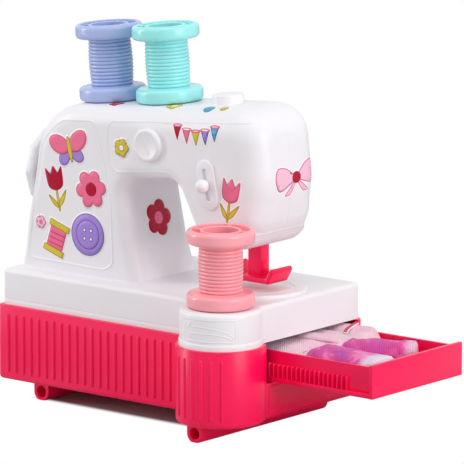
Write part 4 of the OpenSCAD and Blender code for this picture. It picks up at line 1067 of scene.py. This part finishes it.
# %% panels on the body
bm = bmesh.new()
pillar_panel = [(9.7, 50), (12.4, 67), (17.2, 76.2), (28.8, 86.1), (53.2, 88.2), (59.6, 66.6),
                (64.8, 42), (66.2, 8), (60, 4.2), (3.6, 5.0), (6.8, 31.5)]
line = corner_path(pillar_panel, 4.0, closed=True)
add_strip(bm, [on_front(p.x, p.y) for p in line], [(-a, b) for a, b in STEP], closed=True)
arm_panel = [(159.3, 98.2), (64.6, 89.4), (62.0, 84), (63.6, 66), (68.7, 60.6), (101, 64.6), (109.5, 64.6),
             (119, 52), (131, 36.5)]
line = corner_path(arm_panel, 4.5)
add_strip(bm, [on_front(p.x, p.y) for p in line], STEP)
finish_mesh("panel_steps", bm, "machine", WHITE, smooth=60)

# %% jaw line round the head
bm = bmesh.new()
HEAD_MID = Vector((BODY_X + 146, BODY_Y, Z_DECK + 36.6))
jaw = []
for x, y in arc(0, 0, 1, -78, 78, 60):
    outward = Vector((x, y, 0))
    jaw.append(body_hit(HEAD_MID + outward * 150, -outward))
add_strip(bm, jaw, [(0.3, -0.05), (0.15, 0.12), (-0.05, 0.22), (-0.35, 0.2), (-1.0, -0.05)])
finish_mesh("jaw_line", bm, "machine", WHITE, smooth=60)

# %% panel with a turning arrow on the tower
WHITE_TOWER_R = TOWER_R - DECK_SKIN
MM_PER_DEG = WHITE_TOWER_R * math.pi / 180


def on_tower(angle, z):
    """A place on the white tower, by its angle in degrees and its height."""
    outward = Vector((math.cos(math.radians(angle)), math.sin(math.radians(angle)), 0))
    return Vector((TOWER.x, TOWER.y, z)) + outward * WHITE_TOWER_R, outward


def tower_bead(bm, corners, radius):
    """A raised line on the tower through corners of (angle, height)."""
    line = corner_path([(a * MM_PER_DEG, z) for a, z in corners], radius, closed=True)
    add_strip(bm, [on_tower(p.x / MM_PER_DEG, p.y) for p in line], BEAD, closed=True)


bm = bmesh.new()
tower_bead(bm, [(251, 58.4), (330, 58.4), (330, 70.4), (251, 70.4)], 1.2)
arrow = [(255, 64.4), (264, 69), (264, 66.4), (282, 66.4), (300, 65.6), (318, 63.6), (326, 61.4), (326, 59.6),
         (318, 61.2), (300, 62.6), (282, 62.8), (264, 62.6), (264, 60)]
tower_bead(bm, arrow, 0.5)
finish_mesh("tower_arrow", bm, "machine", WHITE, smooth=60)

# %% needle plate
bm = bmesh.new()
plate_low, plate_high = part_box("needle_plate")
plate_mid = (plate_low + plate_high) / (2 * MM)
PLATE_R, PLATE_H = 25.0, 1.7
PLATE_EDGE, GROOVE_R = 0.8, 18.0
place = Matrix.Translation((plate_mid.x, plate_mid.y, Z_DECK))
rim = arc(PLATE_R - PLATE_EDGE, PLATE_H - PLATE_EDGE, PLATE_EDGE, 15, 90, 5)
groove = [(GROOVE_R + 0.6, PLATE_H), (GROOVE_R + 0.3, PLATE_H - 0.25), (GROOVE_R - 0.3, PLATE_H - 0.25),
          (GROOVE_R - 0.6, PLATE_H)]
add_lathe(bm, [(PLATE_R, -0.2), (PLATE_R, PLATE_H - PLATE_EDGE)] + rim + groove + [(0, PLATE_H)], place)
finish_mesh("needle_plate_disc", bm, "machine", WHITE, ["needle_plate"])

# %% [markdown]
# ## Stickers
# Printed stickers with a white border lie on the body. Their motifs are plain sewing and garden shapes:
# buttons, daisies, tulips, a butterfly, a bow, a spool and a bunting. Each part is a small fan of faces laid
# on the surface.

# %% sticker films
FILM = {"white": plastic("film_white", "#FBFAFC", "#F6F4F7", 0.3, 0.02, mirror=0.2)}
for key, name, light, shade in (
        ("crimson", "crimson", "#B8002F", "#AC0029"),
        ("pink", "pink", "#F4779B", "#EF6D92"),
        ("pale", "pale_pink", "#F9C5DC", "#F5BCD5"),
        ("rose", "rose_line", "#DD3F75", "#D6386D"),
        ("purple", "purple", "#A98BDB", "#A082D4"),
        ("violet", "violet_line", "#6B4FA3", "#62479A"),
        ("yellow", "yellow", "#D9C944", "#D2C03A"),
        ("ochre", "ochre_line", "#B98F2E", "#B08627"),
        ("sky", "sky", "#62B5D2", "#59ACCA"),
        ("blue", "blue_line", "#3E7FA8", "#37769F")):
    FILM[key] = plastic("film_" + name, light, shade, 0.32, 0.03, mirror=0.2)
FILM_ORDER = list(FILM)


def oval(cx, cy, rx, ry=None, tilt=0, steps=36):
    """Centre and outline of an ellipse."""
    ry = rx if ry is None else ry
    c, s = math.cos(math.radians(tilt)), math.sin(math.radians(tilt))
    line = []
    for k in range(steps):
        a = 2 * math.pi * k / steps
        x, y = rx * math.cos(a), ry * math.sin(a)
        line.append((cx + x * c - y * s, cy + x * s + y * c))
    return (cx, cy), line


def petals(cx, cy, r, count, depth=0.3, steps=96):
    """Centre and outline of a flower with round petals."""
    line = []
    for k in range(steps):
        a = 2 * math.pi * k / steps
        reach = r * (1 - depth + depth * abs(math.cos(count * a / 2)) ** 0.7)
        line.append((cx + reach * math.cos(a), cy + reach * math.sin(a)))
    return (cx, cy), line


def shape(points, centre=None, closed_curve=True):
    """Centre and outline of a soft shape through a few points, or of a polygon with small round corners."""
    line = smooth_path(points, True, 6) if closed_curve else corner_path(points, 0.8, True)
    if centre is None:
        centre = (sum(p[0] for p in line) / len(line), sum(p[1] for p in line) / len(line))
    return centre, [tuple(p) for p in line]


def grown(part, by):
    """The part with its outline moved outwards, or inwards for a negative distance."""
    (cx, cy), line = part
    result = []
    count = len(line)
    area = sum(line[i - 1][0] * line[i][1] - line[i][0] * line[i - 1][1] for i in range(count))
    side = 1 if area > 0 else -1
    for i in range(count):
        along = (Vector(line[(i + 1) % count]) - Vector(line[i - 2 if by < 0 else i - 1])).normalized()
        result.append((line[i][0] + side * along.y * by, line[i][1] - side * along.x * by))
    return (cx, cy), result


def add_film(bm, spot, part, lift, colour):
    """Lays one printed part on the surface as a fan of rings."""
    (cx, cy), line = part
    rings = 5
    sections = []
    for share, rise in [(1.0, -0.05)] + [(1 - k / rings, lift) for k in range(rings)]:
        row = []
        for x, y in line:
            place, normal = spot(cx + (x - cx) * share, cy + (y - cy) * share)
            row.append(place + normal * rise)
        sections.append(row)
    start = len(bm.faces)
    rows = add_section_walls(bm, sections)
    place, normal = spot(cx, cy)
    middle = bm.verts.new(place + normal * lift)
    count = len(line)
    for j in range(count):
        bm.faces.new((rows[-1][j], rows[-1][(j + 1) % count], middle))
    bm.faces.ensure_lookup_table()
    made = bm.faces[start:]
    made[-1].normal_update()
    if made[-1].normal.dot(normal) < 0:
        bmesh.ops.reverse_faces(bm, faces=made)
    for face in made:
        face.material_index = FILM_ORDER.index(colour)


BORDER, BORDER_LIFT, PRINT_LIFT, PRINT_STEP, FILL_STEP = 0.9, 0.08, 0.13, 0.03, 0.012


def sticker(name, spot, parts, line_width=0.45):
    """A sticker: white border below, then every part with its printed outline and its fill."""
    bm = bmesh.new()
    for k, (part, _, _) in enumerate(parts):
        add_film(bm, spot, grown(part, BORDER), BORDER_LIFT + 0.002 * k, "white")
    for k, (part, colour, line) in enumerate(parts):
        lift = PRINT_LIFT + PRINT_STEP * k
        if line:
            add_film(bm, spot, part, lift, line)
        add_film(bm, spot, grown(part, -line_width) if line else part, lift + FILL_STEP, colour)
    finish_mesh(name, bm, "machine", list(FILM.values()), smooth=40, weld=False)


# %% motifs


def turned(parts, angle, scale=1.0):
    """The motif's parts, turned and scaled round its middle."""
    c, s = math.cos(math.radians(angle)) * scale, math.sin(math.radians(angle)) * scale
    result = []
    for ((cx, cy), line), colour, edge in parts:
        moved = [(x * c - y * s, x * s + y * c) for x, y in line]
        result.append((((cx * c - cy * s, cx * s + cy * c), moved), colour, edge))
    return result


def daisy(r, petal, edge, heart, heart_edge, count=6):
    """A flower with a round heart."""
    return [(petals(0, 0, r, count), petal, edge), (oval(0, 0, r * 0.36), heart, heart_edge)]


def button(r, rim, edge, inner):
    """A round button with four holes."""
    holes = [(oval(r * 0.2 * a, r * 0.2 * b, r * 0.1), "white", edge) for a in (-1, 1) for b in (-1, 1)]
    return [(oval(0, 0, r, steps=72), rim, edge), (oval(0, 0, r * 0.7, steps=60), inner, edge)] + holes


def tulip(cup, edge, leaf, leaf_edge):
    """A tulip: stalk, two leaves and a cup."""
    return [
        (shape([(-0.7, -11), (0.7, -11), (0.6, 0), (-0.6, 0)]), leaf, leaf_edge),
        (shape([(0, -10), (3.6, -7.5), (6.4, -1.5), (3.2, -4), (0.6, -7)]), leaf, leaf_edge),
        (shape([(0, -10.4), (-3.4, -8.4), (-5.8, -3), (-3.0, -5), (-0.6, -8)]), leaf, leaf_edge),
        (shape([(0, -1.5), (4.4, 0.4), (5.4, 5), (5.2, 10.4), (2.6, 7.6), (0, 11), (-2.6, 7.6), (-5.2, 10.4),
                (-5.4, 5), (-4.4, 0.4)], (0, 4)), cup, edge),
    ]


def bow(loop, edge, knot, knot_edge):
    """A bow: two tails, two loops and a knot."""
    tail = [(1, -1), (5.5, -4.5), (9.5, -8), (6.6, -8.4), (4.4, -7.4), (0.4, -2)]
    wing = [(1, 0), (7, 5.6), (14, 6.6), (16.4, 1), (14, -5), (7, -3.6)]
    parts = [(shape([(side * x, y) for x, y in tail]), loop, edge) for side in (1, -1)]
    parts += [(shape([(side * x, y) for x, y in wing], (side * 9, 0.6)), loop, edge) for side in (1, -1)]
    return parts + [(oval(0, 0, 3.4, 3.0), knot, knot_edge)]


def spool(flange, flange_edge, thread, edge):
    """A spool: thread, two flanges and three slanting turns."""
    parts = []
    for half, low, high, colour, line in ((6.2, -6.4, 6.4, thread, edge), (8, 6, 10, flange, flange_edge),
                                          (8, -10, -6, flange, flange_edge)):
        corners = [(-half, low), (half, low), (half, high), (-half, high)]
        parts.append((shape(corners, None, False), colour, line))
    for y in (-4.4, -1.2, 2.0):
        wrap = [(-5.4, y), (5.4, y + 0.9), (5.4, y + 1.5), (-5.4, y + 0.6)]
        parts.append((shape(wrap, None, False), edge, None))
    return parts


def butterfly(upper, upper_edge, lower, lower_edge, body, body_edge):
    """A butterfly: two lower wings, two upper wings and a body."""
    parts = [(oval(side * 5.0, -4.4, 4.6, 3.7, -40 * side), lower, lower_edge) for side in (-1, 1)]
    parts += [(oval(side * 7.0, 3.6, 7.6, 5.2, 32 * side), upper, upper_edge) for side in (-1, 1)]
    return parts + [(oval(0, 0, 1.6, 7.4), body, body_edge)]


def bunting():
    """Five flags on a hanging line, each under a rounded band."""
    parts = []
    for k, (colour, edge) in enumerate((("crimson", None), ("pink", "rose"), ("yellow", "ochre"),
                                        ("purple", "violet"), ("sky", "blue"))):
        x = (k - 2) * 6.6
        y = 3.4 - 4.2 * math.cos((k - 2) / 2 * 1.2)
        flag = [(x - 2.9, y + 3), (x + 2.9, y + 3), (x, y - 5.2)]
        parts.append((shape(flag, None, False), colour, edge))
        parts.append((oval(x, y + 3.2, 3.4, 0.9), "white" if k % 2 else "pale", "rose"))
    return parts


# %% stickers on the body


def front_spot(at, up):
    """Drops a motif on the body's front."""
    return lambda a, b: on_front(at + a, up + b)


def side_spot(middle, across, upward):
    """Drops a motif on the body along the normal of a plane through its middle."""
    across, upward = Vector(across).normalized(), Vector(upward).normalized()
    outward = across.cross(upward)
    return lambda a, b: body_hit(Vector(middle) + across * a + upward * b + outward * 25, -outward)


for name, at, up, motif in (
        ("butterfly", 35, 70, turned(butterfly("pink", "rose", "purple", "violet", "yellow", "ochre"), 14)),
        ("daisy", 50.5, 49, turned(daisy(11, "pink", "rose", "crimson", None), 10)),
        ("tulip", 25, 47, turned(tulip("crimson", "rose", "yellow", "ochre"), 12, 1.12)),
        ("button", 48, 23, button(12, "purple", "violet", "purple")),
        ("spool", 25, 18, turned(spool("yellow", "ochre", "pink", "rose"), -18, 0.95)),
        ("small_daisy", 13.5, 26, daisy(3.8, "pale", "rose", "pink", None, 5)),
        ("arm_daisy", 72.8, 75, daisy(5.4, "yellow", "ochre", "white", "ochre", 5)),
        ("bunting", 126, 88, turned(bunting(), 4)),
        ("flower", 150, 55, turned(tulip("pink", "rose", "yellow", "ochre"), -8, 1.1))):
    sticker("sticker_" + name, front_spot(at, up), motif)
inner_at = Vector((BODY_X + 76.5, BODY_Y + 1, Z_DECK + 32))
inner_daisy = daisy(10.5, "crimson", None, "pink", "rose", 5)
sticker("sticker_inner", side_spot(inner_at, (0, 1, 0), (-0.2, 0, 1)), inner_daisy)
end_at = Vector((BODY_X + 168, BODY_Y + 4, Z_DECK + 66))
end_bow = turned(bow("pale", "rose", "crimson", None), 4, 1.08)
sticker("sticker_bow", side_spot(end_at, (0, 1, 0), (0.05, 0, 1)), end_bow)
for k, (at, dy, motif) in enumerate((
        (60, -16, daisy(4.5, "crimson", None, "pink", None, 5)),
        (101, -15, daisy(5.0, "yellow", "ochre", "white", None, 5)),
        (127, -17, button(3.4, "sky", "blue", "sky")),
        (137, -16, button(2.6, "yellow", "ochre", "yellow")))):
    top_at = Vector((BODY_X + at, BODY_Y + dy, Z_DECK + arm_top(at)))
    sticker("sticker_top_" + str(k), side_spot(top_at, (1, 0, math.tan(ARM_TILT)), (0, 1, 0)), motif, 0.35)
print("stickers are on")

# %% [markdown]
# The CAD nodes that stay as they are get the new materials too.

# %% materials of the CAD nodes
CAD_LOOKS = {
    INNER_WHITE: ["reel_post_left", "reel_post_right", "handwheel_bush", "presser_guide", "drive_shaft",
                  "drive_pinion"],
    PINK: ["drawer_rail_front", "drawer_rail_back", "presser_plunger"],
    STEEL: ["deck_screws", "body_screws", "handwheel_shaft", "handwheel_clip", "drive_clip", "dial_clip",
            "take_up_slider"],
    # Painted shade: the screws under the base take the darkened steel
    SHADE_DARKENED_STEEL: ["base_screws", "foot_screws"],
}
for material, names in CAD_LOOKS.items():
    for name in names:
        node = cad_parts[name]
        node.data.materials.clear()
        node.data.materials.append(material)

# %% [markdown]
# ## Floor, light and camera
# The camera stands at the photograph's viewing angle with a long lens, so parallel edges stay nearly so.

# %% floor and light
bm = bmesh.new()
bmesh.ops.create_grid(bm, x_segments=1, y_segments=1, size=6)
floor = to_object("floor", bm)
floor.location.z = -0.5 * MM
floor_look, tree, shader, place = start_material("pale_floor")
fill(tree, shader, {"Base Color": "#C6C6C6", "Roughness": 0.9, "Specular IOR Level": 0.0})
spread = put(tree, "SeparateXYZ", Vector=place)


def floor_zone(*edges):
    """A part of the floor between soft edges: axis, where it is nothing, where it is full."""
    zone = None
    for k, (axis, nothing, full) in enumerate(edges):
        edge = put(tree, "MapRange", {"interpolation_type": "SMOOTHSTEP"},
                   Value=spread.outputs[axis], From_Min=nothing * MM, From_Max=full * MM).outputs["Result"]
        zone = reckon(tree, "MULTIPLY", zone, edge) if k else edge
    return zone


# The floor shows its shadow under the base, between soft edges, and is white round it
shadow = floor_zone(("X", X_LEFT + 13, X_LEFT + 23), ("X", TOWER.x - 12, TOWER.x - 26),
                    ("Y", Y_FRONT + 8, Y_FRONT + 15), ("Y", Y_BACK, Y_BACK - 12))
seen = put(tree, "LightPath")
lit = put(tree, "Math", {"operation": "SUBTRACT", "use_clamp": True}, (seen.outputs["Is Camera Ray"], shadow))
# Painted reflection: the floor glows white to reflections, on the side of the main light and before the left
# third of the base
lamp_side = floor_zone(("X", X_END + 80, X_END + 140))
left_front = floor_zone(("X", X_LEFT + 60, X_LEFT + 20), ("Y", Y_FRONT - 80, Y_FRONT - 50),
                        ("Y", Y_FRONT + 2, Y_FRONT - 6))
glossy_glow = reckon(tree, "ADD", lamp_side, left_front)
shine = reckon(tree, "MULTIPLY_ADD", seen.outputs["Is Glossy Ray"], glossy_glow, lit.outputs["Value"])
glow = put(tree, "Emission", Strength=1.0)
mix = put(tree, "MixShader", None, (shine, shader.outputs["BSDF"], glow.outputs["Emission"]))
fill(tree, tree.nodes["Material Output"], {"Surface": mix.outputs["Shader"]})
floor.data.materials.append(floor_look)

world = bpy.data.worlds.new("studio")
bpy.context.scene.world = world
world.use_nodes = True
tree = world.node_tree
# The camera and reflections see full white, and the light from the world is dimmer
dim = tree.nodes["Background"]
fill(tree, dim, {"Color": "#FFFFFF", "Strength": 0.55})
seen = put(tree, "LightPath")
white = put(tree, "Background", Color="#FFFFFF", Strength=1.0)
looked_at = reckon(tree, "MAXIMUM", seen.outputs["Is Camera Ray"], seen.outputs["Is Glossy Ray"])
mix = put(tree, "MixShader", None, (looked_at, dim.outputs["Background"], white.outputs["Background"]))
fill(tree, tree.nodes["World Output"], {"Surface": mix.outputs["Shader"]})


def area_light(name, place, target, size, watts):
    """A soft box that looks at a point."""
    light = bpy.data.lights.new(name, "AREA")
    light.shape = "RECTANGLE"
    light.size, light.size_y = size
    light.energy = watts
    lamp = bpy.data.objects.new(name, light)
    lamp.location = place
    lamp.rotation_mode = "QUATERNION"
    lamp.rotation_quaternion = (Vector(target) - Vector(place)).to_track_quat("-Z", "Y")
    bpy.context.scene.collection.objects.link(lamp)


# Places and sizes of the lamps are in metres
area_light("key_right", (1.4, -0.05, 0.5), (0, 0, 0.1), (0.7, 0.7), 9.0)
area_light("top_box", (0.15, -0.35, 1.45), (0, 0, 0.1), (1.2, 1.0), 6.4)
area_light("left_strip", (-1.25, -0.7, 0.4), (0, 0, 0.05), (0.3, 0.9), 7.6)

# %% camera
AZIMUTH, ELEVATION = math.radians(39.2), math.radians(11.25)
FOCAL_PX, FRAME_PX, PX_PER_MM = 6000.0, 464.0, 1.84
CORNER_PX = (251.3, 346.7)
SENSOR_W = 36
right = Vector((math.cos(AZIMUTH), math.sin(AZIMUTH), 0))
back = Vector((math.sin(AZIMUTH) * math.cos(ELEVATION), -math.cos(AZIMUTH) * math.cos(ELEVATION),
               math.sin(ELEVATION)))
up = back.cross(right)
# The deck's lower front right corner is seen at CORNER_PX, from the picture's top left
corner = Vector((X_END - DECK_INSET, Y_FRONT + DECK_INSET, Z_SPLIT))
seen_right, seen_down = [(at - FRAME_PX / 2) / PX_PER_MM for at in CORNER_PX]
eye = corner - right * seen_right + up * seen_down + back * (FOCAL_PX / PX_PER_MM)
camera_data = bpy.data.cameras.new("camera")
camera_data.sensor_width = SENSOR_W
camera_data.lens = SENSOR_W * FOCAL_PX / FRAME_PX
camera_data.clip_end = 50
camera = bpy.data.objects.new("camera", camera_data)
camera.location = eye * MM
camera.rotation_mode = "QUATERNION"
camera.rotation_quaternion = (-back).to_track_quat("-Z", "Y")
bpy.context.scene.collection.objects.link(camera)
bpy.context.scene.camera = camera
bpy.context.scene.view_settings.view_transform = "Standard"
print(len(MADE), "pieces made")
